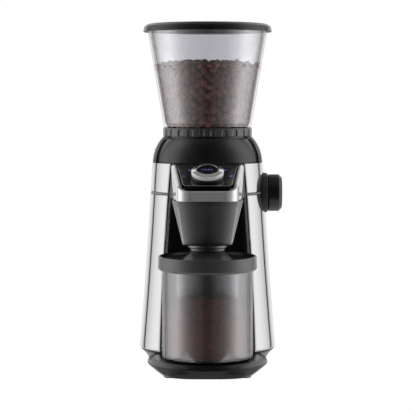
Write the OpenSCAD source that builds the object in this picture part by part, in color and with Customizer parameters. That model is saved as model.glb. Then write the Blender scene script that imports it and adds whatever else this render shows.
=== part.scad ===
// Conical burr coffee grinder, an upright countertop machine.
// X is to the right, Y is to the back, Z is up, in millimetres.
// The modules are drawn about the burr axis, and on_axis() sets that axis so that
// the origin is at the middle of the whole footprint, on the table.

/* [Body] */
// Height of the table end of the steel shell
shell_foot_z = 17; // [15:1:20]
// Height of the seam between the lower and the upper shell
seam_z = 194; // [191:0.5:196]
// Height of the seam between the upper shell and the dome
dome_z = 228; // [226:1:230]
// Height of the top of the dome
dome_top_z = 258; // [256:1:259]
// Half width of the body at its foot
body_half_w = 78; // [76:1:80]
// Thickness of the steel shell
shell_t = 1.2; // [0.8:0.1:1.5]

/* [Hopper] */
// Outer radius of the hopper where it meets its collar
hopper_r1 = 50; // [49:0.5:50]
// Outer radius of the hopper under its lid
hopper_r2 = 68.7; // [66:0.1:69]
// Height of the top edge of the hopper
hopper_top_z = 382; // [376:1:384]
// Wall thickness of the hopper
hopper_t = 2.2; // [1.8:0.1:2.4]
// Outer radius of the locking collar
collar_r = 50.6; // [50.2:0.1:51]
// Number of finger flutes on the collar
collar_flutes = 24; // [18:1:30]
// Outer radius of the hopper lid
lid_r = 73.2; // [72.5:0.1:75]

/* [Canister] */
// Distance from the burr axis to the canister axis
canister_y = 79; // [78.5:0.5:80]
// Outer radius of the canister
canister_r = 50.3; // [48:0.1:50.5]
// Outer radius of the canister lid
canister_lid_r = 54.6; // [53:0.1:54.8]
// Radius of the front platform
platform_r = 66; // [64:1:68]

/* [Controls] */
// Angle of the control panel to the table
panel_tilt = 24.4; // [22:0.1:26]
// Radius of the chrome dial ring
dial_r = 17.8; // [17.5:0.1:19]
// Radius of the grind knob
knob_r = 21; // [18:0.1:21.5]
// Reach of the grind knob's face from the burr axis
knob_reach = 85; // [84:0.5:88]

/* [Burrs and drive] */
// Radius of the cone burr at its foot
cone_r = 18.5; // [17:0.1:18.7]
// Module of the motor stage
m1 = 0.8; // [0.8:0.1:0.8]
// Teeth of the motor pinion
motor_teeth = 10; // [10:1:10]
// Teeth of the idler's large wheel
idler_big_teeth = 40; // [40:1:40]
// Module of the output stage
m2 = 1; // [1:0.1:1]
// Teeth of the idler's small pinion
idler_small_teeth = 12; // [12:1:12]
// Teeth of the output wheel
output_teeth = 36; // [36:1:36]
// Module of the grind adjuster's crown stage
m3 = 1.5; // [1.5:0.1:1.5]
// Teeth of the knob pinion
knob_teeth = 10; // [10:1:10]
// Teeth that a full turn of the crown wheel would have
crown_teeth = 55; // [55:1:55]

/* [Hidden] */
$fn = 96;

// Clearances and the places that several parts share
axis_x = (body_half_w - knob_reach) / 2;
gland_end_y = 71;
axis_y = (canister_y + platform_r - lid_r) / 2;
mid_y = 3;
shoulder_r = 42;
shoulder_in = 12.6;
rear_power = 2.6;
front_power = 2.2;
outline_points = 48;
deck_z = 15;
foot_h = 3.5;
foot_places = [[-40, -117], [40, -117], [-46, 36], [46, 36]];
screw_places = [[-30, -100], [30, -100], [-34, 44], [34, 44]];
post_w = 4.6;
bay_front_y = -31;
bay_back_y = -21.7;
bay_top_z = 184;
arch_y = -12;
hood_t = 3.4;
dome_inset = 5.2;
seat_r = 45;
vent_w = 56;
vent_z1 = 52;
vent_z2 = 122;
gland_z = 34;
gland_r = 8;
knob_axis_z = 193;
bezel_r = 23.4;
bezel_x = 66.5;
fascia_y = -canister_y - 37;
fascia_z = 190.4;
fascia_top_z = 204.3;
fascia_back_x = 41;
fascia_back_y = -47.4;
panel_len = 49;
panel_w1 = 68;
panel_w2 = 54;
chute_z = 141;
chute_band_z = 184;
spout_z = 134;
spout_r = 21.6;
gear_z1 = 162;
gear_z2 = 170;
gear_w1 = 6;
gear_w2 = 8;
gearbox_z = 158;
gearbox_lid_z = 181;
lid_t = 5;
housing_z = gearbox_lid_z + lid_t;
housing_r = 36;
mesh_play = 0.1;
motor_y = 30.5;
motor_r = 29;
case_ears = [[-24, -6], [23, 6], [-34, 28], [9, 38]];
rods = 3;
collar_z = dome_top_z + 0.4;
collar_h = 9.3;
hopper_foot_z = 268.7;
lid_z = 376.2;
lid_under_z = 382.7;
lid_top_z = 385.5;
panel_far_y = -58;
dial_y = -84;

// Centre distances of the two spur stages, the idler's place and the crown's radius
c1 = m1 * (motor_teeth + idler_big_teeth) / 2;
c2 = m2 * (idler_small_teeth + output_teeth) / 2;
idler_y = (c2 * c2 - c1 * c1 + motor_y * motor_y) / (2 * motor_y);
idler_x = -sqrt(c2 * c2 - idler_y * idler_y);
crown_r = m3 * crown_teeth / 2;
// Turns of the wheels that bring their teeth into mesh
to_idler = atan2(idler_y, idler_x);
to_motor = atan2(motor_y - idler_y, -idler_x);
output_turn = to_idler;
idler_small_turn = to_idler + 180 + 180 / idler_small_teeth;
idler_big_turn = to_motor;
motor_turn = to_motor + 180 + 180 / motor_teeth;

// ---- Plan outlines of the body ----

// Half width of the body at height z, from the foot to the dome
function half_w(z) = body_half_w - 0.0853 * (z - 16) + 0.000073 * pow(z - 16, 2);
// Front and rear depths of the plan from its widest line
function front_d(z) = 0.48 * half_w(z) + 32;
function rear_d(z) = 66 - 0.035 * z;
// Half width of the opening between the shell's front edges
function opening_x(z) = 53.5 - 0.02 * (z - 17) - 0.00018 * pow(z - 17, 2);
// How far in the dome's shoulder has come at height z, from 0 to 1
function shoulder(z) = (shoulder_r - sqrt(pow(shoulder_r, 2) - pow(z - dome_z, 2))) / shoulder_in;
// A signed power
function spow(v, p) = sign(v) * pow(abs(v), p);
// A point of a plan: angle a from the front, half width w, depths f and r, middle line cy, powers nf and nr
function plan_point(a, w, f, r, cy, nf, nr) =
    cos(a) >= 0
        ? [w * spow(sin(a), 2 / nf), cy - f * pow(cos(a), 2 / nf)]
        : [w * spow(sin(a), 2 / nr), cy + r * pow(-cos(a), 2 / nr)];
// The body's plan point at height z, moved in by t
function body_point(a, z, t) =
    plan_point(a, half_w(z) - t, front_d(z) - t, rear_d(z) - t, mid_y, front_power, rear_power);
// The dome's plan point at height z, moved in by t
function dome_point(a, z, t) =
    let (s = shoulder(z), w = half_w(dome_z), f = front_d(dome_z), r = rear_d(dome_z))
    plan_point(a, w - shoulder_in * s - t, f - (f - w + shoulder_in) * s - t,
        r - (r - w + shoulder_in) * s - t, mid_y * (1 - s),
        front_power + (2 - front_power) * s, rear_power + (2 - rear_power) * s);
// The plan angle at which the shell's front edge lies at height z
function edge_angle(z) = asin(pow(opening_x(z) / half_w(z), front_power / 2));
// The Y of that edge
function edge_y(z) = body_point(edge_angle(z), z, 0)[1];

// ---- Lofts ----

// Faces of a solid through k loops of m points each; the caps join point i to point m - 1 - i
function loft_faces(m, k) = concat(
    [for (j = [0:k - 2]) for (i = [0:m - 1]) let (n = (i + 1) % m)
        [j * m + i, (j + 1) * m + i, (j + 1) * m + n]],
    [for (j = [0:k - 2]) for (i = [0:m - 1]) let (n = (i + 1) % m) [j * m + i, (j + 1) * m + n, j * m + n]],
    [for (i = [0:m / 2 - 2]) [i, i + 1, m - 2 - i]],
    [for (i = [0:m / 2 - 2]) [i, m - 2 - i, m - 1 - i]],
    [for (i = [0:m / 2 - 2]) let (b = (k - 1) * m) [b + m - 2 - i, b + i + 1, b + i]],
    [for (i = [0:m / 2 - 2]) let (b = (k - 1) * m) [b + m - 1 - i, b + m - 2 - i, b + i]]);
module loft(loops, heights) {
    m = len(loops[0]);
    k = len(loops);
    points = [for (j = [0:k - 1]) for (p = loops[j]) [p[0], p[1], heights[j]]];
    polyhedron(points = points, faces = loft_faces(m, k));
}
// A closed loop of the body's plan, a closed loop of the dome's, and the shell's open U of thickness t
function body_loop(z, t) = [for (i = [0:outline_points - 1]) body_point(i * 360 / outline_points, z, t)];
function dome_loop(z, t) = [for (i = [0:outline_points - 1]) dome_point(i * 360 / outline_points, z, t)];
function u_angle(z, i) = edge_angle(z) + (360 - 2 * edge_angle(z)) * i / (outline_points - 1);
function u_loop(z, inset, t) = concat(
    [for (i = [0:outline_points - 1]) body_point(u_angle(z, i), z, inset)],
    [for (i = [outline_points - 1:-1:0]) body_point(u_angle(z, i), z, inset + t)]);
module u_shell(z1, z2, steps, inset, t) {
    heights = [for (i = [0:steps]) z1 + (z2 - z1) * i / steps];
    loft([for (z = heights) u_loop(z, inset, t)], heights);
}

// ---- Shared shapes ----

module on_axis() { translate([axis_x, axis_y, 0]) children(); }
module at_canister() { translate([0, -canister_y, 0]) children(); }
module ring(r_out, r_in, z1, z2) {
    translate([0, 0, z1])
        difference() {
            cylinder(r = r_out, h = z2 - z1);
            translate([0, 0, -1]) cylinder(r = r_in, h = z2 - z1 + 2);
        }
}
module disc(r, z1, z2) { translate([0, 0, z1]) cylinder(r = r, h = z2 - z1); }
// A box between two corners
module block(a, b) { translate(a) cube(b - a); }
// A cylinder along X, and one along Y
module bar_x(r, x1, x2, y, z) { translate([x1, y, z]) rotate([0, 90, 0]) cylinder(r = r, h = x2 - x1); }
module bar_y(r, x, y1, y2, z) { translate([x, y2, z]) rotate([90, 0, 0]) cylinder(r = r, h = y2 - y1); }
// Children on the panel's surface at the dial, with +Z along the panel's normal
module on_panel() { translate([0, dial_y, panel_z(dial_y)]) rotate([panel_tilt, 0, 0]) children(); }
function panel_z(y) = dome_z - 1.5 + (y - panel_far_y) * tan(panel_tilt);

// A point of an involute at radius r, for a wheel whose base radius is rb
function involute(rb, r) = let (u = sqrt(max(0, pow(r / rb, 2) - 1))) u * 180 / PI - atan(u);
// A spur wheel's outline with play taken off its flanks
function gear_points(m, n) =
    let (rp = m * n / 2, rb = rp * cos(20), ra = rp + m * 0.7, rf = rp - m,
        half = 90 / n + involute(rb, rp) - mesh_play / rp * 180 / PI,
        radii = [for (i = [0:4]) max(rb, rf) + (ra - max(rb, rf)) * i / 4],
        side = concat([[-half, rf]], [for (r = radii) [involute(rb, r) - half, r]]),
        tooth = concat(side, [for (i = [len(side) - 1:-1:0]) [-side[i][0], side[i][1]]]))
    [for (k = [0:n - 1]) for (p = tooth) let (a = k * 360 / n + p[0]) [p[1] * cos(a), p[1] * sin(a)]];
module gear(m, n, z1, z2, bore, turn = 0) {
    translate([0, 0, z1])
        rotate(turn)
            linear_extrude(z2 - z1)
                difference() {
                    polygon(gear_points(m, n));
                    circle(r = bore);
                }
}
// Points of an arc round a centre
function arc(c, r, a1, a2, steps) =
    [for (i = [0:steps]) let (a = a1 + (a2 - a1) * i / steps) c + r * [cos(a), sin(a)]];
function mirrored(points) = [for (i = [len(points) - 1:-1:0]) [-points[i][0], points[i][1]]];

// ---- Base ----

module base_tray() {
    color("#2b2b2e") on_axis()
        difference() {
            union() {
                loft([tray_loop(10), tray_loop(6.6), tray_loop(1), tray_loop(1)], [4, 9.1, 14.8, 16.9]);
                loft([tongue_loop(52, 63, 55, 3.4), tongue_loop(platform_r + 0.5, platform_r, 55, 2.1),
                    tongue_loop(57, 57, 55, 2)], [2, 10.8, deck_z]);
            }
            loft([tray_loop(13), tray_loop(9.6), tray_loop(5)], [3, 9.1, 13.5]);
            loft([tongue_loop(48, 59, 62, 3.4), tongue_loop(62, 62, 62, 2.1), tongue_loop(54, 54, 62, 2)],
                [1, 10, 12.5]);
            at_canister() disc(canister_lid_r + 2.2, deck_z, 20);
            at_feet() disc(7.8, 0, foot_h);
        }
}
// The body's outline at its foot, moved in by t
function tray_loop(t) = body_loop(shell_foot_z, t);
// The front platform's outline
function tongue_loop(w, f, r, n) =
    [for (i = [0:outline_points - 1]) plan_point(i * 360 / outline_points, w, f, r, -canister_y, n, 4)];
module base_cover() {
    color("#1b1b1d") on_axis()
        difference() {
            union() {
                loft([tray_loop(13.6), tray_loop(13.6)], [foot_h, foot_h + 2]);
                loft([tongue_loop(46, 57, 50, 3.4), tongue_loop(46, 57, 50, 3.4)], [foot_h, foot_h + 2]);
            }
            at_screws() disc(2.2, 0, 9);
        }
}
module at_screws() { for (p = screw_places) translate([p[0], p[1], 0]) children(); }
module at_feet() { for (p = foot_places) translate([p[0], p[1], 0]) children(); }
module rubber_feet() {
    color("#111112") on_axis()
        at_feet()
            rotate_extrude()
                polygon([[0, 0], [6.4, 0], [7.5, 1], [7.5, foot_h], [0, foot_h]]);
}
module base_screws() {
    color("#8f9296") on_axis()
        at_screws() {
            disc(3.6, 2, foot_h);
            disc(2, foot_h, foot_h + 7);
        }
}

// ---- Shells and frame ----

module lower_shell() {
    color("#c9cacc") on_axis()
        difference() {
            u_shell(shell_foot_z, seam_z - 0.8, 7, 0, shell_t);
            bar_x(bezel_r + 0.3, 40, 90, 0, knob_axis_z);
            block([-vent_w / 2, 50, vent_z1], [vent_w / 2, 80, vent_z2]);
            bar_y(gland_r + 0.2, 0, 50, 80, gland_z);
        }
}
module upper_shell() {
    color("#cfd0d2") on_axis()
        difference() {
            u_shell(seam_z + 0.8, dome_z, 3, 0, shell_t);
            bar_x(bezel_r + 0.3, 40, 90, 0, knob_axis_z);
        }
}
module seam_spacer() {
    color("#77787c") on_axis()
        difference() {
            u_shell(seam_z - 0.7, seam_z + 0.7, 1, 0.4, shell_t);
            bar_x(bezel_r + 0.3, 40, 90, 0, knob_axis_z);
        }
}
// Plan of the frame post beside the opening at height z
function post_loop(z) =
    let (x = opening_x(z) - 1.3, y = edge_y(z) + 1.3)
    [[x, y], [x, y + 11], [x - post_w, y + 12.5], [x - post_w, y + 2]];
module front_frame() {
    heights = [for (i = [0:6]) deck_z + 2.2 + (dome_z - deck_z - 2.6) * i / 6];
    color("#6d6e72") on_axis()
        for (side = [0, 1]) mirror([side, 0, 0]) loft([for (z = heights) post_loop(z)], heights);
}
// Plan of the bay's wall behind the canister at height z
function bay_point(a, z, t) =
    [(opening_x(z) - post_w + 1.5 - t) * spow(cos(a), 0.5),
        bay_front_y + (bay_back_y - bay_front_y - t) * spow(sin(a), 0.5)];
function bay_loop(z, t) = concat(
    [for (i = [0:24]) bay_point(i * 7.5, z, 0)],
    [for (i = [24:-1:0]) bay_point(i * 7.5, z, t)]);
module inner_frame() {
    heights = [for (i = [0:4]) 17.2 + (bay_top_z - 17.2) * i / 4];
    color("#0f0f10") on_axis()
        loft([for (z = heights) bay_loop(z, 1.4)], heights);
}

// ---- Top ----

// The front dome's plan point, narrower than the hood behind it
function front_dome_point(a, z, t) =
    let (s = shoulder(z), w = half_w(dome_z), f = front_d(dome_z))
    plan_point(a, w - shoulder_in * s - dome_inset - t, f - (f - w + shoulder_in) * s - t,
        rear_d(dome_z) - t, mid_y * (1 - s), front_power + (2 - front_power) * s, rear_power);
function front_dome_loop(z, t) =
    [for (i = [0:outline_points - 1]) front_dome_point(i * 360 / outline_points, z, t)];
module top_dome() {
    top = dome_top_z - 2;
    heights = [for (i = [0:8]) dome_z + 0.4 + (top - dome_z - 0.4) * sin(i * 90 / 8)];
    inner = [for (i = [0:6]) dome_z + (top - 2.5 - dome_z) * sin(i * 90 / 6)];
    color("#1d1d1f") on_axis()
        difference() {
            loft([for (z = heights) front_dome_loop(z, 0)], heights);
            loft([for (z = inner) front_dome_loop(z, 2.5)], inner);
            disc(seat_r + 0.3, 240, 260);
            block([-90, arch_y - 0.4, 220], [90, 90, 270]);
        }
}
module rear_cap() {
    heights = [for (i = [0:8]) dome_z + 0.3 + (dome_top_z - dome_z - 0.3) * sin(i * 90 / 8)];
    inner = [for (i = [0:8]) dome_z + (dome_top_z - 3 - dome_z) * sin(i * 90 / 8)];
    color("#a9abae") on_axis()
        difference() {
            loft([for (z = heights) dome_loop(z, 0)], heights);
            loft([for (z = inner) dome_loop(z, hood_t)], inner);
            disc(seat_r + 0.3, 240, 260);
            block([-90, -90, 220], [90, arch_y, 270]);
        }
}
module arch_gasket() {
    heights = [for (i = [0:6]) dome_z + 0.5 + (dome_top_z - 3.5 - dome_z) * sin(i * 90 / 6)];
    color("#0b0b0c") on_axis()
        difference() {
            loft([for (z = heights) dome_loop(z, hood_t + 0.1)], heights);
            loft([for (z = heights) dome_loop(z, hood_t + 1.5)], [for (z = heights) z + 0.01 * (z - 240)]);
            disc(seat_r + 0.3, 200, 270);
            block([-90, arch_y + 5, 220], [90, 90, 270]);
            block([-90, -90, 220], [90, arch_y - 0.3, 270]);
        }
}
module rear_vent_panel() {
    y = rear_d(100) + mid_y - 5;
    color("#232325") on_axis()
        difference() {
            block([-vent_w / 2 + 0.3, y, vent_z1 + 0.3], [vent_w / 2 - 0.3, y + 3.4, vent_z2 - 0.3]);
            for (z = [vent_z1 + 8:7:vent_z2 - 10])
                block([-vent_w / 2 + 7, y - 1, z], [vent_w / 2 - 7, y + 5, z + 3]);
        }
}
module cord_gland() {
    color("#151516") on_axis()
        translate([0, gland_end_y, gland_z]) rotate([90, 0, 0])
            difference() {
                union() {
                    cylinder(r1 = gland_r - 1.5, r2 = gland_r, h = 4);
                    translate([0, 0, 4]) cylinder(r = gland_r, h = 9);
                    translate([0, 0, 9]) cylinder(r = gland_r + 2.5, h = 4);
                }
                translate([0, 0, -1]) cylinder(r = 3.6, h = 20);
            }
}

// ---- Controls ----

// Half of the fascia's plan, from the front middle to the back, moved in by t
function fascia_half(t) =
    let (r = 13 - t, c = [20.8, fascia_y + 13])
    concat([[0, fascia_y + t]], arc(c, r, -90, -12, 6), [[fascia_back_x - t, fascia_back_y]]);
module fascia_plan(t) { polygon(concat(fascia_half(t), mirrored(fascia_half(t)))); }
// Everything above the plane that lies h over the panel's face
module above_panel(h) {
    translate([0, panel_far_y, dome_z - 1.5 + h]) rotate([panel_tilt, 0, 0])
        translate([-100, -200, 0]) cube([200, 400, 200]);
}
module chrome_trim() {
    color("#e4e6e8") on_axis()
        difference() {
            translate([0, 0, fascia_z]) linear_extrude(dome_z - 0.2 - fascia_z) fascia_plan(0);
            translate([0, 0, fascia_z - 1]) linear_extrude(80) fascia_plan(5);
            above_panel(1.2);
            block([-60, -120, fascia_top_z], [60, fascia_y + 12, 260]);
        }
}
module control_panel() {
    near = panel_len - 7;
    color("#0d0d0f") on_axis() translate([0, panel_far_y, dome_z - 1.5]) rotate([panel_tilt, 0, 0])
        difference() {
            union() {
                translate([0, 0, -2.5]) linear_extrude(2.5)
                    polygon(concat([[-panel_w1 / 2, 0]],
                        arc([-panel_w2 / 2 + 7, -near], 7, 190, 270, 5),
                        arc([panel_w2 / 2 - 7, -near], 7, -90, -10, 5), [[panel_w1 / 2, 0]]));
                block([-panel_w1 / 2, -0.5, -2.5], [panel_w1 / 2, 1.5, 1]);
            }
            translate([0, (dial_y - panel_far_y) / cos(panel_tilt), -5]) cylinder(r = 8.5, h = 10);
        }
}
module panel_board() {
    color("#1f5c38") on_axis() on_panel()
        difference() {
            block([-24, -18, -9.6], [24, 19, -8]);
            translate([0, 0, -12]) cylinder(r = 4, h = 8);
        }
}
module dial_encoder() {
    color("#8a8d90") on_axis() on_panel() {
        ring(7, 3.4, -8, -4.4);
        ring(6, 3.4, -4.4, 1);
    }
}
module dial_skirt() {
    color("#151517") on_axis() on_panel()
        rotate_extrude()
            polygon([[7.2, 0.4], [16.9, 0.4], [17.4, 0.9], [17.4, 2.2], [16.4, 2.6], [16.4, 3.4],
                [7.2, 3.4]]);
}
module dial_ring() {
    color("#dfe1e3") on_axis() on_panel()
        rotate_extrude()
            polygon([[12.2, 3.4], [16.6, 3.4], [dial_r - 0.3, 4], [dial_r, 5], [dial_r - 0.3, 6.4],
                [dial_r - 1.6, 7.6], [13.4, 8.8], [12.2, 8.4]]);
}
module start_button() {
    color("#121216") on_axis() on_panel()
        difference() {
            union() {
                disc(11.9, 4.6, 8);
                disc(3.1, -2, 4.7);
            }
            translate([0, 0, 15.6]) sphere(r = 8);
        }
}
module grind_knob() {
    color("#161617") on_axis() translate([0, 0, knob_axis_z]) rotate([0, 90, 0])
        rotate_extrude()
            polygon([[3, bezel_x + 0.5], [19.5, bezel_x + 0.5], [knob_r, bezel_x + 2.5],
                [knob_r, knob_reach - 3.4], [knob_r - 3.2, knob_reach], [15.4, knob_reach],
                [15.4, knob_reach - 1.4], [3, knob_reach - 1.4]]);
}
module knob_face() {
    color("#2c2c2f") on_axis() translate([0, 0, knob_axis_z]) rotate([0, 90, 0])
        rotate_extrude()
            polygon([[0, knob_reach - 1.4], [15.1, knob_reach - 1.4], [15.1, knob_reach - 0.8],
                [0, knob_reach - 0.3]]);
}
module knob_bezel() {
    color("#1a1a1b") on_axis() translate([0, 0, knob_axis_z]) rotate([0, 90, 0])
        rotate_extrude()
            polygon([[4, 58], [bezel_r, 58], [bezel_r, bezel_x - 1.5], [bezel_r - 1.5, bezel_x],
                [4, bezel_x]]);
}
module knob_bushing() {
    color("#b9a36b") on_axis() translate([0, 0, knob_axis_z]) rotate([0, 90, 0])
        rotate_extrude()
            polygon([[3.05, 49], [7, 49], [7, 52], [5.5, 52], [5.5, 57.9], [3.05, 57.9]]);
}
module knob_shaft() {
    color("#9b9da0") on_axis() {
        bar_x(3, 36, knob_reach - 1.5, 0, knob_axis_z);
        translate([crown_r - 2, 0, knob_axis_z]) rotate([0, 90, 0]) gear(m3, knob_teeth, 0, 4, 2.99);
    }
}

// ---- Chute ----

// Plan of the chute's cover: half widths w at its bevelled front corners and v at its back
function chute_loop(w, v, f, r, b) =
    let (half = [[w - b, -f], [w, b - f], [v, r - 4], [v - 4, r]])
    [for (p = concat(half, mirrored(half))) [p[0], p[1] - canister_y]];
module chute_cover() {
    color("#232326") on_axis()
        difference() {
            loft([chute_loop(24.5, 24.5, 24.5, 24.5, 9), chute_loop(26, 26, 26, 26, 9.5),
                chute_loop(32.5, 36.3, 34.4, 33, 11.5), chute_loop(33.2, 38, 35.4, 34, 12)],
                [chute_z, chute_z + 2.5, chute_band_z, fascia_z - 0.3]);
            loft([chute_loop(24, 24, 24, 24, 9), chute_loop(30.5, 34.3, 32.4, 31, 11.5),
                chute_loop(31.2, 36, 33.4, 32, 12)], [chute_z + 2, chute_band_z, fascia_z + 1]);
            at_canister() disc(spout_r + 0.1, 130, 150);
            block([-14.2, 20 - canister_y, 185.8], [14.2, 40 - canister_y, fascia_z + 1]);
        }
}
module spout_funnel() {
    color("#1c1c1e") on_axis() at_canister()
        rotate_extrude()
            polygon([[15, spout_z], [18.8, spout_z], [19.5, spout_z + 0.7], [19.5, spout_z + 3.2],
                [spout_r, spout_z + 3.8], [spout_r, 142.5], [20, 144], [28.5, 184], [26.5, 184], [15, 140]]);
}
module chute_duct() {
    color("#2f3033") on_axis()
        difference() {
            block([-14, -canister_y + 15, 186], [14, -housing_r - 0.2, 204]);
            block([-12, -canister_y + 17, 184], [12, -canister_y + 27, 202]);
            block([-12, -canister_y + 17, 188], [12, -20, 202]);
        }
}

// ---- Burrs ----

module hopper_seat() {
    color("#18181a") on_axis()
        rotate_extrude()
            polygon([[26.6, 240], [31, 240], [31, 247.5], [seat_r, 252], [seat_r, 258.1], [35.5, 258.1],
                [27.1, 250.4],
                [26.6, 249.8]]);
}
module burr_housing() {
    color("#3a3b3e") on_axis()
        difference() {
            disc(housing_r, housing_z, 228);
            disc(33.2, housing_z + 3, 230);
            disc(8, housing_z - 1, housing_z + 4);
            block([-12, -50, 189], [12, 0, 201.8]);
        }
}
module adjuster_ring() {
    teeth = 12;
    color("#c8b27a") on_axis() {
        ring(40, housing_r + 0.6, 204, 232);
        ring(40, 30.4, 232, 235.5);
        difference() {
            ring(45.8, 39, 202, 206);
            rotate(50) block([-60, -60, 190], [0, 60, 220]);
            rotate(-50) block([-60, -60, 190], [0, 60, 220]);
        }
        for (i = [0:teeth - 1]) rotate((i - (teeth - 1) / 2) * 360 / crown_teeth)
            translate([crown_r - 2.4, 0, knob_axis_z + m3 * knob_teeth / 2])
                rotate([90, 0, 90]) linear_extrude(4.8) rack_tooth();
    }
}
// Outline of a crown tooth, tip down
module rack_tooth() {
    half = PI * m3 / 4 - 0.28;
    tip = 0.85;
    root = 1.6;
    polygon([[-half - root * tan(20), root], [-half + tip * tan(20), -tip], [half - tip * tan(20), -tip],
        [half + root * tan(20), root]]);
}
module burr_carrier() {
    color("#d0d2d4") on_axis()
        rotate_extrude()
            polygon([[26.05, 203], [32.9, 203], [32.9, 224], [30, 226], [30, 238], [26.05, 238]]);
}
module ring_burr() {
    color("#7e8084") on_axis()
        difference() {
            disc(26, 203.2, 224);
            translate([0, 0, 203]) rotate_extrude()
                polygon([[0, -0.1], [cone_r + 1.7, -0.1], [cone_r + 0.4, 4], [cone_r + 3.8, 21.1],
                    [0, 21.1]]);
            for (i = [0:11]) rotate(i * 30) translate([0, 0, 207]) rotate([0, 10, 0])
                block([0, -1.5, 0], [22.6, 1.5, 20]);
        }
}
module cone_burr() {
    color("#8b8e92") on_axis()
        difference() {
            translate([0, 0, 201]) rotate_extrude()
                polygon([[4.05, 0], [cone_r - 1, 0], [cone_r, 2], [cone_r - 2, 7], [9, 22], [7, 23],
                    [4.05, 23]]);
            for (i = [0:7]) rotate(i * 45) translate([0, 0, 201]) rotate([0, 0, 18])
                translate([cone_r + 1.4, 0, 4]) rotate([0, -26, 0]) cylinder(r = 3, h = 24);
        }
}
module impeller() {
    color("#26272a") on_axis() {
        ring(30, 4.05, 191, 193);
        for (i = [0:5]) rotate(i * 60) block([19, -1, 193], [30, 1, 199]);
        ring(10, 4.05, 193, 200.8);
    }
}
module burr_bolt() {
    color("#55585c") on_axis() {
        translate([0, 0, 224.2]) cylinder(r = 6.5, h = 4.5, $fn = 6);
        disc(6.9, 224, 224.3);
    }
}
module burr_shaft() {
    color("#a5a8ab") on_axis() disc(4, gearbox_z + 0.9, 224);
}
module output_gear() {
    color("#4c4d50") on_axis() gear(m2, output_teeth, gear_z2, gear_z2 + gear_w2, 4.02, output_turn);
}

// ---- Gearbox and motor ----

module gear_room(grow, z1, z2) {
    disc(19.3 + grow, z1, z2);
    translate([idler_x, idler_y, 0]) disc(17.3 + grow, z1, z2);
    translate([0, motor_y, 0]) disc(6 + grow, z1, z2);
}
module gearbox_case() {
    color("#8d9094") on_axis()
        difference() {
            union() {
                gear_room(1.7, gearbox_z, gearbox_lid_z - 0.05);
                for (p = case_ears) translate([p[0], p[1], 0]) disc(4.5, gearbox_z, gearbox_lid_z - 0.05);
            }
            gear_room(0, gear_z1 - 0.8, gearbox_lid_z + 1);
            disc(9.02, gearbox_z + 0.8, gear_z1);
            disc(6, gearbox_z - 1, gear_z1);
            translate([0, motor_y, 0]) disc(4, gearbox_z - 1, gear_z1);
            translate([idler_x, idler_y, 0]) disc(2.48, gearbox_z + 1, gear_z1);
            for (p = case_ears) translate([p[0], p[1], 0]) disc(1.6, gearbox_z - 1, gearbox_lid_z + 1);
        }
}
module gearbox_lid() {
    color("#9a9da1") on_axis()
        difference() {
            union() {
                gear_room(1.7, gearbox_lid_z, housing_z);
                for (p = case_ears) translate([p[0], p[1], 0]) disc(4.5, gearbox_lid_z, housing_z);
            }
            disc(9.02, gearbox_lid_z - 1, housing_z + 1);
            translate([idler_x, idler_y, 0]) disc(2.48, gearbox_lid_z - 1, gearbox_lid_z + 1.5);
            for (p = case_ears) translate([p[0], p[1], 0]) {
                disc(1.6, gearbox_lid_z - 1, housing_z + 1);
                disc(3.05, gearbox_lid_z + 2.2, housing_z + 1);
            }
        }
}
module gearbox_screws() {
    color("#6a6d70") on_axis()
        for (p = case_ears) translate([p[0], p[1], 0]) {
            disc(1.55, gearbox_z + 1, gearbox_lid_z + 2.2);
            disc(3, gearbox_lid_z + 2.2, housing_z - 0.1);
        }
}
module support_rods() {
    color("#2a2b2d") on_axis()
        for (i = [0:rods - 1]) translate([case_ears[i][0], case_ears[i][1], 0]) {
            disc(3.5, 17, gearbox_z);
            disc(7, 17, 20);
            disc(4.5, gearbox_z - 3, gearbox_z);
        }
}
module shaft_bearings() {
    color("#b4b7ba") on_axis() {
        ring(9, 4.04, gearbox_z + 0.8, gear_z1 - 0.6);
        ring(9, 4.04, gearbox_lid_z + 0.1, housing_z - 0.1);
    }
}
module idler_axle() {
    color("#a5a8ab") on_axis() translate([idler_x, idler_y, 0])
        disc(2.46, gearbox_z + 1.1, gearbox_lid_z + 1.4);
}
module idler_gear() {
    color("#e8e4d8") on_axis() translate([idler_x, idler_y, 0]) {
        gear(m1, idler_big_teeth, gear_z1, gear_z1 + gear_w1, 2.52, idler_big_turn);
        ring(5, 2.52, gear_z1 + gear_w1, gear_z2);
        gear(m2, idler_small_teeth, gear_z2, gear_z2 + gear_w2, 2.52, idler_small_turn);
    }
}
module motor_pinion() {
    color("#c2a45a") on_axis() translate([0, motor_y, 0])
        gear(m1, motor_teeth, gear_z1 + 0.2, gear_z1 + 7, 2, motor_turn);
}
module motor_rotor() {
    color("#9a6b3c") on_axis() translate([0, motor_y, 0]) {
        disc(2, 64, gear_z1 + 7.5);
        difference() {
            disc(17, 88, 132);
            for (i = [0:8]) rotate(i * 40) block([8, -1, 84], [20, 1, 136]);
            disc(1.99, 80, 140);
        }
        ring(8, 1.99, 134, 146);
        ring(6, 1.99, 76, 80);
        for (i = [0:8]) rotate(i * 40) block([5, -0.8, 76], [24, 0.8, 84]);
    }
}
module motor_can() {
    color("#7b7e82") on_axis() translate([0, motor_y, 0])
        difference() {
            disc(motor_r, 66, 149.9);
            disc(motor_r - 2, 68, 151);
            disc(2.1, 60, 70);
            for (i = [0:5]) rotate(i * 60) translate([16, 0, 0]) disc(4, 60, 70);
        }
}
module motor_end_cap() {
    color("#5f6266") on_axis() translate([0, motor_y, 0])
        difference() {
            union() {
                disc(motor_r, 150, 153);
                disc(9, 153, gearbox_z - 0.1);
            }
            disc(2.1, 140, 170);
        }
}

// ---- Electrics ----

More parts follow.
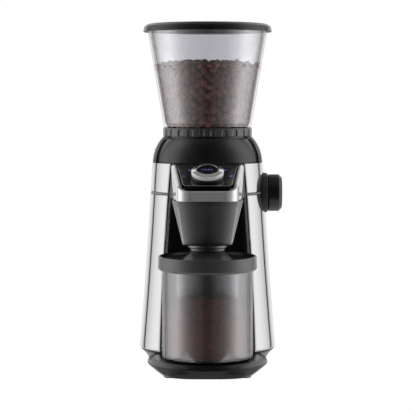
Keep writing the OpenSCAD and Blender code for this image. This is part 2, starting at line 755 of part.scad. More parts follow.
module power_board() {
    color("#2e6b3f") on_axis() {
        block([-54, -8, 62], [-52.4, 38, 128]);
        block([-52.4, 0, 70], [-40, 14, 88]);
        bar_x(6, -52.4, -40, 26, 80);
        block([-52.4, 2, 98], [-44, 12, 110]);
        block([-52.4, 20, 100], [-42, 34, 112]);
    }
}
module hopper_switch() {
    color("#1e1e20") on_axis() {
        block([-6, 47.5, 238], [6, 53, 246]);
        block([-1.5, 49, 246], [1.5, 51.5, 248]);
    }
}
module canister_switch() {
    color("#1e1e20") on_axis() {
        block([-10, -18, 60], [10, -9, 70]);
        block([-2, -19.3, 64], [2, -18, 66]);
    }
}

// ---- Hopper, collar and lid ----

module hopper() {
    slope = (hopper_r2 - hopper_r1) / (hopper_top_z - hopper_foot_z);
    color([0.6, 0.58, 0.6, 0.5]) on_axis()
        rotate_extrude()
            polygon([[26.2, 242], [26.2, 250.4], [46.5, hopper_foot_z], [hopper_r1, hopper_foot_z],
                [hopper_r2, hopper_top_z], [hopper_r2 - hopper_t, hopper_top_z],
                [hopper_r1 + slope * 3.9 - hopper_t, hopper_foot_z + 3.9], [23.9, 250.6], [23.9, 242]]);
}
module locking_collar() {
    top = collar_z + collar_h;
    color("#3a3b3e") on_axis()
        difference() {
            rotate_extrude()
                polygon([[36, collar_z], [collar_r - 0.3, collar_z], [collar_r, collar_z + 0.3],
                    [collar_r, top - 0.8], [collar_r - 0.8, top], [46.3, top]]);
            for (i = [0:collar_flutes - 1]) rotate((i + 0.5) * 360 / collar_flutes)
                translate([collar_r + 5.6, 0, collar_z - 1]) cylinder(r = 6.4, h = collar_h - 1, $fn = 64);
        }
}
module hopper_lid() {
    color("#1f1f21") on_axis()
        rotate_extrude()
            polygon([[0, lid_top_z], [64, lid_top_z], [66.8, lid_top_z - 0.4], [68.8, lid_top_z - 1.2],
                [70.4, lid_top_z - 2.2], [71.6, lid_top_z - 3], [72.3, lid_top_z - 4.2], [lid_r, lid_z],
                [69.6, lid_z], [69.6, lid_under_z], [64.2, lid_under_z], [64.2, lid_z + 0.5],
                [62.2, lid_z + 0.5], [62.2, lid_top_z - 2.5], [0, lid_top_z - 2.5]]);
}
module lid_seal() {
    color("#8a8a8d") on_axis() ring(65, 64.2, lid_z + 1.3, lid_z + 4.3);
}

// ---- Canister ----

module canister() {
    color([0.5, 0.48, 0.5, 0.5]) on_axis() at_canister()
        rotate_extrude()
            polygon([[0, deck_z + 0.3], [canister_r - 2, deck_z + 0.3], [canister_r, deck_z + 2.3],
                [canister_r, 121.2], [canister_r - 2, 121.2], [canister_r - 2, deck_z + 4.6],
                [canister_r - 4, deck_z + 2.8], [0, deck_z + 2.8]]);
}
module canister_lid() {
    color("#333437") on_axis() at_canister()
        rotate_extrude()
            polygon([[canister_r + 0.4, 112.7], [52.6, 112.7], [canister_lid_r, 115],
                [canister_lid_r - 0.5, 127.8], [canister_lid_r - 1, 128.3], [52, 128.3], [50.6, 124.6],
                [28, 124.6], [18.6, 133.6], [16.5, 133.6],
                [16.5, 132.4], [26.6, 122], [canister_r + 0.4, 122]]);
}
module canister_seal() {
    color("#9c9c9f") on_axis() at_canister() ring(canister_r - 2.2, 46.6, 117.5, 122);
}

base_tray();
base_cover();
rubber_feet();
base_screws();
lower_shell();
upper_shell();
seam_spacer();
front_frame();
inner_frame();
top_dome();
rear_cap();
arch_gasket();
rear_vent_panel();
cord_gland();
chrome_trim();
control_panel();
chute_cover();
spout_funnel();
chute_duct();
panel_board();
dial_encoder();
power_board();
knob_bezel();
knob_bushing();
hopper_seat();
burr_housing();
gearbox_case();
gearbox_lid();
gearbox_screws();
support_rods();
shaft_bearings();
idler_axle();
motor_can();
motor_end_cap();
hopper_switch();
canister_switch();
hopper_lid();
lid_seal();
hopper();
locking_collar();
grind_knob();
knob_face();
knob_shaft();
adjuster_ring();
burr_carrier();
ring_burr();
burr_shaft();
cone_burr();
impeller();
burr_bolt();
output_gear();
idler_gear();
motor_rotor();
motor_pinion();
dial_ring();
dial_skirt();
start_button();
canister();
canister_lid();
canister_seal();
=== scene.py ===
"""Burr coffee grinder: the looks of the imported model.

Shapes are drawn in millimetres about the burr axis: X to the right, Y to the back, Z up from the
table. place() moves them into the frame, whose hopper and canister give the two axes.
"""
import itertools
import math
import random
import bmesh
import bpy
from mathutils import Matrix, Vector


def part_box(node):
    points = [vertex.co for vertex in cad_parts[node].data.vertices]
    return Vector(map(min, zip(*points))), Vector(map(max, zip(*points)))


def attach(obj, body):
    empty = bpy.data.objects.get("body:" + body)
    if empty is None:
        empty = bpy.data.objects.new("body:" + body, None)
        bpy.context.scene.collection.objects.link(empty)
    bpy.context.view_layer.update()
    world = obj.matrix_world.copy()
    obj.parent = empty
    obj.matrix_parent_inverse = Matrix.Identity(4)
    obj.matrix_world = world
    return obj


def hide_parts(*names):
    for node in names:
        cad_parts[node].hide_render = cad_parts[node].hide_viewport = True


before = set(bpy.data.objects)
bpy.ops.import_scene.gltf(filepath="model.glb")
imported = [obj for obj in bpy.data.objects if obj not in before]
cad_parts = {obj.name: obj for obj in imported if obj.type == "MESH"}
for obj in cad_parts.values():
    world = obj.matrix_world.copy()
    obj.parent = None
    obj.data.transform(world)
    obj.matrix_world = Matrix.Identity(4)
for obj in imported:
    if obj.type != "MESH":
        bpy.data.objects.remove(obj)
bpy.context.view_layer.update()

MM = 0.001


def centre(node):
    """Middle of a CAD node's box, in metres."""
    low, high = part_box(node)
    return (Vector(low) + Vector(high)) / 2


def span(node, i):
    """Lowest and highest value of a CAD node's box along axis i, in mm about the burr axis."""
    low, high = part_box(node)
    return (low[i] - ORIGIN[i]) / MM, (high[i] - ORIGIN[i]) / MM


ORIGIN = Vector((centre("hopper").x, centre("hopper").y, 0))
CANISTER_Y = (centre("canister").y - ORIGIN.y) / MM
PANEL_TILT = math.radians(24.4)
PANEL_FAR = Vector((0, -58, span("upper_shell", 2)[1] - 1.5))
DIAL = PANEL_FAR + Vector((0, -26, -26 * math.tan(PANEL_TILT)))

# ---- Mesh helpers ----


def place(p, at=(0, 0, 0)):
    """A point in mm about the burr axis, moved by at, as a point of the frame in metres."""
    return ORIGIN + (Vector(p) + Vector(at)) * MM


def make(name, verts, faces, material, at=(0, 0, 0), sharp=35, tilt=None):
    """A smooth-shaded mesh object from points in mm; edges sharper than sharp degrees stay crisp."""
    if tilt is not None:
        verts = [tilt @ Vector(v) for v in verts]
    mesh = bpy.data.meshes.new(name)
    mesh.from_pydata([place(v, at) for v in verts], [], faces)
    piece = bpy.data.objects.new(name, mesh)
    bpy.context.scene.collection.objects.link(piece)
    clean(piece)
    mesh.materials.append(material)
    smooth(piece, sharp)
    return piece


def clean(piece):
    """Joins doubled points and turns every face outwards."""
    bm = bmesh.new()
    bm.from_mesh(piece.data)
    bmesh.ops.remove_doubles(bm, verts=bm.verts, dist=1e-6)
    bmesh.ops.recalc_face_normals(bm, faces=bm.faces)
    bm.to_mesh(piece.data)
    bm.free()


def smooth(piece, sharp=35):
    """Smooth shading, with the edges above an angle left sharp."""
    for face in piece.data.polygons:
        face.use_smooth = True
    piece.data.set_sharp_from_angle(angle=math.radians(sharp))


def wear(piece, body, slot_name, *nodes):
    """Sets the piece's body, and hides the CAD nodes that it stands for. slot_name, the finish, is not
    used.
    """
    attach(piece, body)
    if nodes:
        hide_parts(*nodes)
    return piece


def apply_modifiers(piece):
    """Makes the piece's modifiers part of its mesh."""
    graph = bpy.context.evaluated_depsgraph_get()
    mesh = bpy.data.meshes.new_from_object(piece.evaluated_get(graph))
    piece.modifiers.clear()
    piece.data = mesh


def bevel(piece, width, segments, angle=30):
    """Rounds the edges above an angle, in mm."""
    mod = piece.modifiers.new("Bevel", "BEVEL")
    mod.width = width * MM
    mod.segments = segments
    mod.limit_method = "ANGLE"
    mod.angle_limit = math.radians(angle)
    apply_modifiers(piece)
    smooth(piece)
    return piece


def cut(piece, tool, sharp=35, operation="DIFFERENCE"):
    """Cuts the tool out of the piece and removes the tool."""
    mod = piece.modifiers.new("Cut", "BOOLEAN")
    mod.operation = operation
    mod.solver = "EXACT"
    mod.object = tool
    apply_modifiers(piece)
    bpy.data.objects.remove(tool)
    clean(piece)
    smooth(piece, sharp)
    return piece


def ring(r, z, around):
    """Evenly spaced points of a level circle."""
    angles = [2 * math.pi * k / around for k in range(around)]
    return [(r * math.cos(a), r * math.sin(a), z) for a in angles]


def band(b, c, around):
    """Faces between two rings of points, whose numbers start at b and c."""
    return [(b + k, b + (k + 1) % around, c + (k + 1) % around, c + k) for k in range(around)]


def rounded(points, radius, bends=5):
    """A 2-D outline with its corners rounded; radius is one number or one per corner."""
    n = len(points)
    out = []
    for i, here in enumerate(points):
        r = radius[i] if isinstance(radius, (list, tuple)) else radius
        p = Vector(here)
        if r <= 0:
            out.append(tuple(p))
            continue
        a = Vector(points[i - 1]) - p
        b = Vector(points[(i + 1) % n]) - p
        half = a.angle(b) / 2
        reach = min(r / math.tan(half), 0.48 * a.length, 0.48 * b.length)
        start = p + a.normalized() * reach
        end = p + b.normalized() * reach
        for k in range(bends + 1):
            t = k / bends
            out.append(tuple(start * (1 - t) ** 2 + p * (2 * t * (1 - t)) + end * t ** 2))
    return out


def lathe(name, profile, material, at=(0, 0, 0), segments=160, sharp=35, tilt=None):
    """Turns a closed outline of (radius, height) points about the Z axis."""
    verts, faces = [], []
    rows = []
    for r, z in profile:
        if r < 1e-6:
            rows.append([len(verts)] * segments)
            verts.append((0, 0, z))
        else:
            rows.append(list(range(len(verts), len(verts) + segments)))
            verts += ring(r, z, segments)
    count = len(rows)
    for i in range(count):
        lower, upper = rows[i], rows[(i + 1) % count]
        if lower[0] == lower[1] and upper[0] == upper[1]:
            continue
        for k in range(segments):
            n = (k + 1) % segments
            face = [lower[k], lower[n], upper[n], upper[k]]
            faces.append(list(dict.fromkeys(face)))
    return make(name, verts, faces, material, at, sharp, tilt)


def skin(name, loops, material, caps=True, at=(0, 0, 0), tilt=None):
    """A surface through loops of the same number of points."""
    m = len(loops[0])
    verts = [p for loop in loops for p in loop]
    faces = []
    for j in range(len(loops) - 1):
        faces += band(j * m, (j + 1) * m, m)
    if caps:
        faces.append(tuple(range(m)))
        faces.append(tuple(range((len(loops) - 1) * m, len(loops) * m)))
    return make(name, verts, faces, material, at, tilt=tilt)


def prism(name, outline, low, high, material, at=(0, 0, 0), tilt=None):
    """An upright prism on a 2-D outline."""
    loops = [[(x, y, z) for x, y in outline] for z in (low, high)]
    return skin(name, loops, material, at=at, tilt=tilt)


def block(low, high, name="tool", material=None):
    """A plain box: a cutting tool, or the start of a plate."""
    outline = [(low[0], low[1]), (high[0], low[1]), (high[0], high[1]), (low[0], high[1])]
    return prism(name, outline, low[2], high[2], material or PLAIN)


def drum(radius, start, end, turn=None, at=(0, 0, 0), segments=96):
    """A cutting tool: a plain cylinder along Z, or along the axis that turn gives it."""
    profile = [(0, start), (radius, start), (radius, end), (0, end)]
    return lathe("tool", profile, PLAIN, at=at, segments=segments, tilt=turn)


def turned(name, profile, material, axis, body, finish, *nodes, segments=192):
    """A lathed piece that is ready to wear; axis is the foot of its axis, and the axis's tilt."""
    at, tilt = axis
    return wear(lathe(name, profile, material, at, segments, tilt=tilt), body, finish, *nodes)


def join(name, pieces):
    """Joins meshes into one object."""
    bm = bmesh.new()
    for piece in pieces:
        bm.from_mesh(piece.data)
    mesh = bpy.data.meshes.new(name)
    bm.to_mesh(mesh)
    bm.free()
    for material in pieces[0].data.materials:
        mesh.materials.append(material)
    for piece in pieces:
        bpy.data.objects.remove(piece)
    whole = bpy.data.objects.new(name, mesh)
    bpy.context.scene.collection.objects.link(whole)
    return whole


# ---- Materials ----


class Nodes:
    """A short way to build the node tree of a new material, or of the world."""

    def __init__(self, name, owner=None, output="ShaderNodeOutputMaterial"):
        self.owner = owner or bpy.data.materials.new(name)
        self.owner.use_nodes = True
        self.tree = self.owner.node_tree
        self.tree.nodes.clear()
        self.out = self.add(output)

    def add(self, kind, inputs=None, **settings):
        """A node with its settings, and its inputs as values or as links from other nodes."""
        node = self.tree.nodes.new(kind)
        for key, value in settings.items():
            setattr(node, key, value)
        for key, value in (inputs or {}).items():
            self.feed(node, key, value)
        return node

    def feed(self, node, key, value):
        """Links another node's output to an input, or sets the input's value."""
        if isinstance(value, bpy.types.NodeSocket):
            self.tree.links.new(value, node.inputs[key])
        else:
            node.inputs[key].default_value = value

    def where(self, scale=(1, 1, 1)):
        """Object coordinates in metres, stretched by scale."""
        coords = self.add("ShaderNodeTexCoord").outputs["Object"]
        return self.add("ShaderNodeMapping", {"Vector": coords, "Scale": scale}).outputs["Vector"]

    def maths(self, operation, *values):
        return self.add("ShaderNodeMath", dict(enumerate(values)), operation=operation).outputs[0]

    def noise(self, scale, detail=3.0, rough=0.5, stretch=(1, 1, 1)):
        inputs = {"Vector": self.where(stretch), "Scale": scale, "Detail": detail, "Roughness": rough}
        return self.add("ShaderNodeTexNoise", inputs).outputs["Fac"]

    def span(self, value, low, high, start=0.35, end=0.65):
        """The value from start to end, as low to high."""
        inputs = {"Value": value, "From Min": start, "From Max": end, "To Min": low, "To Max": high}
        return self.add("ShaderNodeMapRange", inputs).outputs["Result"]

    def blend(self, value, first, second):
        """A colour from first to second, each a triple or another node's colour."""
        mix = self.add("ShaderNodeMix", data_type="RGBA")
        for key, part in ((0, value), (6, first), (7, second)):
            self.feed(mix, key, (*part, 1.0) if isinstance(part, tuple) else part)
        return mix.outputs[2]

    def bump(self, height, strength, distance):
        inputs = {"Height": height, "Strength": strength, "Distance": distance}
        return self.add("ShaderNodeBump", inputs).outputs["Normal"]

    def finish(self, shader):
        """Sends the shader to the output, and gives back the material or the world."""
        self.tree.links.new(shader.outputs[0], self.out.inputs["Surface"])
        return self.owner


def grey(value):
    """A colour with red, green and blue alike."""
    return (value, value, value)


def plastic(name, colour, roughness, grain=2600.0, strength=0.25, coat=0.0, vary=0.12, sheen=0.5,
            coat_rough=0.04):
    """Moulded plastic: a fine spark-eroded grain, with slight changes of gloss and colour."""
    n = Nodes(name)
    cloud = n.noise(45.0, 2.0)
    fine = n.noise(grain, 2.0, 0.6)
    darker = tuple(c * (1 - vary) for c in colour)
    lighter = tuple(min(1.0, c * (1 + vary)) for c in colour)
    shader = n.add("ShaderNodeBsdfPrincipled", {
        "Base Color": n.blend(n.span(cloud, 0, 1), darker, lighter),
        "Roughness": n.span(cloud, roughness * 0.92, min(1.0, roughness * 1.08)),
        "Normal": n.bump(fine, strength, 0.00002),
        "Specular IOR Level": sheen,
        "Coat Weight": coat,
        "Coat Roughness": coat_rough})
    return n.finish(shader)


def metal(name, colour, roughness, stretch=(60, 60, 2600), relief=0.000006, strength=0.3, vary=0.05,
          plating=1.0):
    """Brushed or turned metal: long fine scratches along the directions that stretch leaves short."""
    n = Nodes(name)
    lines = n.noise(1.0, 4.0, 0.7, stretch)
    darker = tuple(c * (1 - vary) for c in colour)
    shader = n.add("ShaderNodeBsdfPrincipled", {
        "Base Color": n.blend(n.span(lines, 0, 1), darker, colour),
        "Roughness": n.span(lines, roughness * 0.85, roughness * 1.15),
        "Normal": n.bump(lines, strength, relief),
        "Metallic": plating})
    return n.finish(shader)


def clear_plastic(name, tint, haze, haze_share, shine, rim_power, rim_tint):
    """Smoky clear plastic: tinted see-through with a little haze, and a gloss that grows at the rim."""
    n = Nodes(name)
    facing = n.add("ShaderNodeLayerWeight", {"Blend": 0.5}).outputs["Facing"]
    edge = n.maths("POWER", facing, rim_power)
    through = n.add("ShaderNodeBsdfTransparent", {
        "Color": n.blend(edge, tint, tuple(c * rim_tint for c in tint))})
    fog = n.add("ShaderNodeBsdfDiffuse", {
        "Color": n.blend(n.span(n.noise(25.0, 1.0), 0, 1), tuple(c * 0.96 for c in haze), haze)})
    body = n.add("ShaderNodeMixShader", {0: haze_share, 1: through.outputs[0], 2: fog.outputs[0]})
    gloss = n.add("ShaderNodeBsdfGlossy", {"Color": (1, 1, 1, 1), "Roughness": 0.03})
    steep = n.maths("POWER", facing, 4.5)
    rim = n.add("ShaderNodeMapRange", {"Value": steep, "To Min": shine, "To Max": 0.45}).outputs["Result"]
    return n.finish(n.add("ShaderNodeMixShader", {0: rim, 1: body.outputs[0], 2: gloss.outputs[0]}))


def clear_pair(*values):
    """Clear plastic for a vessel's outside, and with a wider and darker rim for its inside. The inside's
    dark rim is partly the plastic's own darkening seen at a slant and partly painted shade along the wall,
    where the beans and the grounds lie against it.
    """
    name, *rest = values
    return clear_plastic(name, *rest, 8.0, 0.4), clear_plastic(name + "_inside", *rest, 2.8, 0.02)


def glow(name, colour, strength):
    """A small lit symbol behind black plastic."""
    n = Nodes(name)
    cloud = n.noise(900.0, 1.0)
    shader = n.add("ShaderNodeBsdfPrincipled", {
        "Base Color": (0.02, 0.02, 0.03, 1.0),
        "Emission Color": n.blend(n.span(cloud, 0, 1), tuple(c * 0.8 for c in colour), colour),
        "Emission Strength": strength})
    return n.finish(shader)


def roasted(name, dark, light, roughness, scale, relief, gloss_coat=0.0):
    """Coffee: brown that changes from grain to grain, with an uneven oily surface."""
    n = Nodes(name)
    patch = n.noise(scale, 3.0, 0.6)
    fine = n.noise(scale * 5, 4.0, 0.65)
    shader = n.add("ShaderNodeBsdfPrincipled", {
        "Base Color": n.blend(n.span(patch, 0, 1, 0.3, 0.7), dark, light),
        "Roughness": n.span(fine, roughness * 0.8, roughness * 1.2),
        "Normal": n.bump(fine, 0.5, relief),
        "Coat Weight": gloss_coat,
        "Coat Roughness": 0.3})
    return n.finish(shader)


PLAIN = plastic("cutting_tool", grey(0.5), 0.5)
STEEL = metal("brushed_steel_skin", (0.46, 0.46, 0.465), 0.085, relief=0.000002, strength=0.08)
HOOD = metal("satin_metal_hood", (0.74, 0.74, 0.745), 0.28, relief=0.000002, strength=0.1,
             vary=0.02, plating=0.3)
# A near-white matt finish for the outer side of the dial's chrome ring: a painted highlight in place of the
# chrome's reflection there.
DIAL_BAND_PAINTED_HIGHLIGHT = metal("dial_band_painted_highlight", grey(0.95), 0.25, (900, 900, 900), 0.000001, 0.1, plating=0.05)
CHROME = metal("polished_chrome", (0.72, 0.72, 0.73), 0.07, (900, 900, 900), 0.000001, 0.1, 0.01)
FASCIA = metal("satin_chrome_fascia", (0.74, 0.74, 0.75), 0.09, (40, 40, 3000), 0.000001, 0.1,
               plating=0.6)
TRIM = metal("satin_trim", (0.6, 0.6, 0.605), 0.26, plating=0.5)
SEAM = plastic("seam_plastic", grey(0.22), 0.4)
BLACK = plastic("satin_black_plastic", grey(0.005), 0.33, sheen=0.7)
BAY = plastic("bay_black_plastic", grey(0.006), 0.6)
DOME = plastic("dome_black_plastic", grey(0.004), 0.28)
CHUTE = plastic("chute_black_plastic", grey(0.007), 0.27, sheen=1.0, coat=0.8, coat_rough=0.2)
# A light grey for the chute's corner edges: a painted highlight where the rounded edges would catch the
# light.
CHUTE_EDGE_PAINTED_HIGHLIGHT = plastic("chute_edge_painted_highlight", grey(0.16), 0.25, sheen=1.0, coat=1.0)
BASE = plastic("base_black_plastic", grey(0.006), 0.26, sheen=0.3)
PIANO = plastic("piano_black_plastic", grey(0.006), 0.08, strength=0.03, coat=0.6)
COLLAR = plastic("collar_grey_plastic", grey(0.04), 0.3, sheen=0.9)
LID = plastic("hopper_lid_plastic", grey(0.007), 0.24, sheen=0.4)
CUP_LID = plastic("canister_lid_plastic", grey(0.03), 0.36, sheen=1.0)
KNOB = plastic("knob_black_plastic", grey(0.003), 0.3)
BEZEL = plastic("bezel_black_plastic", grey(0.006), 0.5)
RUBBER = plastic("foot_rubber", grey(0.015), 0.75, grain=1500, strength=0.4)
SEAL = plastic("silicone_seal", grey(0.5), 0.5)
OUTLINE = plastic("panel_print", grey(0.45), 0.35)
HOPPER_CLEAR, HOPPER_INSIDE = clear_pair(
    "smoky_clear_hopper", (0.925, 0.92, 0.94), (0.75, 0.74, 0.78), 0.002, 0.145)
CANISTER_CLEAR, CANISTER_INSIDE = clear_pair(
    "smoky_clear_canister", (0.92, 0.915, 0.93), (0.62, 0.61, 0.64), 0.005, 0.12)
BEANS, DARK_BEANS, LIGHT_BEANS = [roasted(*values, 300.0, 0.00006, 0.1) for values in (
    ("roasted_beans", (0.23, 0.07, 0.047), (0.33, 0.115, 0.08), 0.42),
    ("roasted_beans_dark", (0.15, 0.043, 0.028), (0.22, 0.07, 0.048), 0.38),
    ("roasted_beans_light", (0.31, 0.105, 0.072), (0.42, 0.16, 0.115), 0.46))]
GROUNDS = roasted("ground_coffee", (0.08, 0.017, 0.010), (0.19, 0.05, 0.033), 0.9, 700.0, 0.0003)
LAMP = glow("lit_symbol", (0.2, 0.19, 0.8), 0.8)
LAMP_BLUE = glow("lit_symbol_blue", (0.15, 0.3, 0.7), 0.6)
MACHINED = metal("machined_steel", (0.58, 0.58, 0.59), 0.3, (1500, 1500, 300))
CAST = metal("die_cast_aluminium", (0.62, 0.62, 0.63), 0.5, (500, 500, 500), relief=0.00003)
BRASS = metal("turned_brass", (0.72, 0.55, 0.28), 0.28, (1500, 1500, 300))
PAINTED = plastic("motor_paint", grey(0.09), 0.5)
COPPER = metal("copper_winding", (0.72, 0.36, 0.2), 0.35, (200, 200, 3500), 0.0001, 0.6)
NYLON = plastic("gear_nylon", (0.72, 0.70, 0.62), 0.45)
BOARD = plastic("circuit_board", (0.02, 0.12, 0.05), 0.3, grain=500, strength=0.3, vary=0.3)

# ---- Outlines of the body ----

FOOT_Z, SEAM_Z, DOME_Z, DOME_TOP = 17.0, 194.0, 228.0, 258.0
MID_Y, ARCH_Y, SEAT_R = 3.0, -12.0, 45.0
KNOB_Z, BEZEL_R, INLET_Z = 193.0, 23.4, 34.0
SHOULDER_R, SHOULDER_IN, FRONT_IN = 42, 12.6, 5.2
UPRIGHT, AT_CANISTER = ((0, 0, 0), None), (0, CANISTER_Y, 0)
AT_KNOB = (0, 0, KNOB_Z)
ALONG_X = Matrix.Rotation(math.pi / 2, 4, "Y")
ALONG_Y = Matrix.Rotation(-math.pi / 2, 4, "X")
VENT_X, VENT_LOW, VENT_HIGH = 28, 52, 122
SHELL_WALL, SEAM_GAP = 1.2, 1.7
PLAN_POINTS, SHELL_POINTS = 160, 140


def half_w(z):
    """Half width of the body at height z."""
    return 78 - 0.0853 * (z - 16) + 0.000073 * (z - 16) ** 2


def front_d(z):
    """Depth of the body in front of its middle line at height z."""
    return 0.48 * half_w(z) + 32


def rear_d(z):
    """Depth of the body behind its middle line at height z."""
    return 66 - 0.035 * z


def opening_x(z):
    """Half width of the opening between the shell's front edges."""
    return 53.5 - 0.02 * (z - 17) - 0.00018 * (z - 17) ** 2


def shoulder(z):
    """How far in the dome's shoulder has come at height z, from 0 to 1."""
    return (SHOULDER_R - math.sqrt(max(0.0, SHOULDER_R ** 2 - (z - DOME_Z) ** 2))) / SHOULDER_IN


def spow(v, p):
    """A power that keeps the sign."""
    return math.copysign(abs(v) ** p, v)


def plan_point(a, w, f, r, cy, nf, nr):
    """A point of a plan at angle a from the front: half width w, depths f and r, middle line cy."""
    if math.cos(a) >= 0:
        return w * spow(math.sin(a), 2 / nf), cy - f * math.cos(a) ** (2 / nf)
    return w * spow(math.sin(a), 2 / nr), cy + r * (-math.cos(a)) ** (2 / nr)


def body_point(a, z, t):
    """A point of the body's plan at angle a and height z, moved in by t."""
    return plan_point(a, half_w(z) - t, front_d(z) - t, rear_d(z) - t, MID_Y, 2.2, 2.6)


def dome_point(a, z, t):
    """The same for the dome, which comes in to a circle round the hopper's seat."""
    s, w, f, r = shoulder(z), half_w(DOME_Z), front_d(DOME_Z), rear_d(DOME_Z)
    return plan_point(a, w - SHOULDER_IN * s - t, f - (f - w + SHOULDER_IN) * s - t,
                      r - (r - w + SHOULDER_IN) * s - t,
                      MID_Y * (1 - s), 2.2 - 0.2 * s, 2.6 - 0.6 * s)


def front_dome_point(a, z, t):
    """The same for the front cover, which is narrower than the hood and runs straight back."""
    s, w, f = shoulder(z), half_w(DOME_Z), front_d(DOME_Z)
    return plan_point(a, w - SHOULDER_IN * s - FRONT_IN - t, f - (f - w + SHOULDER_IN) * s - t,
                      rear_d(DOME_Z) - t,
                      MID_Y * (1 - s), 2.2 - 0.2 * s, 2.6)


def edge_angle(z):
    """The plan angle at which the shell's front edge lies at height z."""
    return math.asin((opening_x(z) / half_w(z)) ** 1.1)


def edge_y(z):
    """Where the shell's front edge lies from front to back at height z."""
    return body_point(edge_angle(z), z, 0)[1]


def steps(a, b, n):
    """n + 1 even steps from a to b."""
    return [a + (b - a) * i / n for i in range(n + 1)]


def between(a, b, k):
    """The point at share k of the way from a to b."""
    return tuple(p + (q - p) * k for p, q in zip(a, b))


def loop_of(point, z, t):
    """A closed loop of a plan at height z."""
    return [(*point(2 * math.pi * i / PLAN_POINTS, z, t), z) for i in range(PLAN_POINTS)]


def u_loop(z, inset, t):
    """The open U of a shell of thickness t at height z."""
    start = edge_angle(z)
    angles = steps(start, 2 * math.pi - start, SHELL_POINTS)
    outer = [(*body_point(a, z, inset), z) for a in angles]
    inner = [(*body_point(a, z, inset + t), z) for a in reversed(angles)]
    return outer + inner


# ---- Steel shells, seam, posts and bay wall ----


def knob_hole(piece):
    """Cuts the hole for the knob's bezel."""
    return cut(piece, drum(BEZEL_R + 0.3, 40, 90, ALONG_X, AT_KNOB))


def steel(name, z1, z2, rows):
    """One steel shell, with the hole for the knob's bezel."""
    shell = skin(name, [u_loop(z, 0, SHELL_WALL) for z in steps(z1, z2, rows)], STEEL)
    return knob_hole(shell)


lower = steel("lower_shell_steel", FOOT_Z, SEAM_Z - SEAM_GAP, 40)
lower = cut(lower, block((-VENT_X, 50, VENT_LOW), (VENT_X, 80, VENT_HIGH)))
lower = cut(lower, drum(8.2, 50, 80, ALONG_Y, (0, 0, INLET_Z)))
wear(bevel(lower, 0.35, 2, 40), "base", "steel_skin", "lower_shell")
upper = steel("upper_shell_steel", SEAM_Z + SEAM_GAP, DOME_Z, 12)
wear(bevel(upper, 0.35, 2, 40), "base", "steel_skin", "upper_shell")
seam = skin("seam_trim", [u_loop(z, inset, 1.0) for z, inset in (
    (SEAM_Z - 1.0, 1.0), (SEAM_Z - 0.8, 0.5), (SEAM_Z + 0.8, 0.5), (SEAM_Z + 1.0, 1.0))], SEAM)
wear(knob_hole(seam), "base", "grey_plastic", "seam_spacer")
backing = skin("seam_backing", [u_loop(z, 1.4, 1.0) for z in (SEAM_Z - 3, SEAM_Z + 3)], BLACK)
wear(knob_hole(backing), "base", "satin_black")


def post(z, side):
    """Plan of a frame post beside the opening, with a round nose."""
    x, y = opening_x(z) - 1.3, edge_y(z) + 1.3
    corners = [(x, y), (x, y + 11), (x - 3.0, y + 12.5), (x - 3.0, y)]
    return [(side * px, py, z) for px, py in rounded(corners, [1.4, 0.3, 0.3, 1.4], 8)]


heights = steps(17.2, DOME_Z - 0.4, 44)
posts = [skin("post", [post(z, side) for z in heights], TRIM) for side in (-1, 1)]
posts = join("front_posts", posts)
smooth(posts, 50)
wear(posts, "base", "grey_plastic", "front_frame")


def bay_point(a, z, t):
    """A point of the wall behind the canister: a half oval, moved in by t."""
    reach = opening_x(z) - 3.1 - t
    return reach * spow(math.cos(a), 0.5), -31 + (9.3 - t) * spow(math.sin(a), 0.5)


def bay_loop(z):
    """The bay wall's closed outline at height z."""
    angles = steps(0, math.pi, 72)
    front = [(*bay_point(a, z, 0), z) for a in angles]
    return front + [(*bay_point(a, z, 1.4), z) for a in reversed(angles)]


bay = skin("bay_wall", [bay_loop(z) for z in steps(17.2, 184, 12)], BAY)
wear(bay, "base", "satin_black", "inner_frame")

# ---- Dome, hood and gasket ----


def rise(low, high, n):
    """Heights from low to high that come closer together towards the top."""
    return [low + (high - low) * math.sin(i * math.pi / 2 / n) for i in range(n + 1)]


def solid_dome(name, point, low, high, t, material, n=26):
    """A solid dome on a plan, moved in by t."""
    return skin(name, [loop_of(point, z, t) for z in rise(low, high, n)], material)


def hollow(name, point, low, high, wall, material):
    """A hollow dome on a plan."""
    shell = solid_dome(name, point, low, high, 0, material)
    return cut(shell, solid_dome("tool", point, low - 1, high - wall, wall, material))


dome = hollow("top_dome_cover", front_dome_point, DOME_Z + 0.4, DOME_TOP - 2, 2.5, DOME)
dome = cut(dome, drum(SEAT_R + 0.3, 240, 262))
dome = cut(dome, block((-90, ARCH_Y - 0.4, 220), (90, 90, 270)))
wear(bevel(dome, 0.6, 3, 40), "base", "satin_black", "top_dome")

hood = hollow("rear_hood", dome_point, DOME_Z + 0.3, DOME_TOP, 3.4, HOOD)
hood = cut(hood, drum(SEAT_R + 0.3, 240, 262))
hood = cut(hood, block((-90, -90, 220), (90, ARCH_Y, 270)))
wear(bevel(hood, 1.2, 4, 40), "base", "hood_grey", "rear_cap")

gasket = solid_dome("arch_gasket_strip", dome_point, DOME_Z + 0.5, DOME_TOP - 3.5, 3.5, RUBBER, 20)
gasket = cut(gasket, solid_dome("tool", dome_point, DOME_Z - 0.5, DOME_TOP - 4.5, 4.9, RUBBER, 20))
gasket = cut(gasket, drum(SEAT_R + 0.3, 200, 270))
gasket = cut(gasket, block((-90, ARCH_Y + 5, 220), (90, 90, 270)))
gasket = cut(gasket, block((-90, -90, 220), (90, ARCH_Y - 0.3, 270)))
wear(gasket, "base", "rubber", "arch_gasket")

# ---- Fascia, panel and dial ----

FASCIA_Y, FASCIA_Z, FASCIA_TOP = -116.0, 190.4, 204.3
FASCIA_FLAT, FASCIA_R = 18.8, 15
PANEL_BACK, PANEL_FRONT, PANEL_DEEP = 34, 27, 49


def panel_z(y):
    """Height of the control panel's face at y."""
    return PANEL_FAR.z + (y - PANEL_FAR.y) * math.tan(PANEL_TILT)


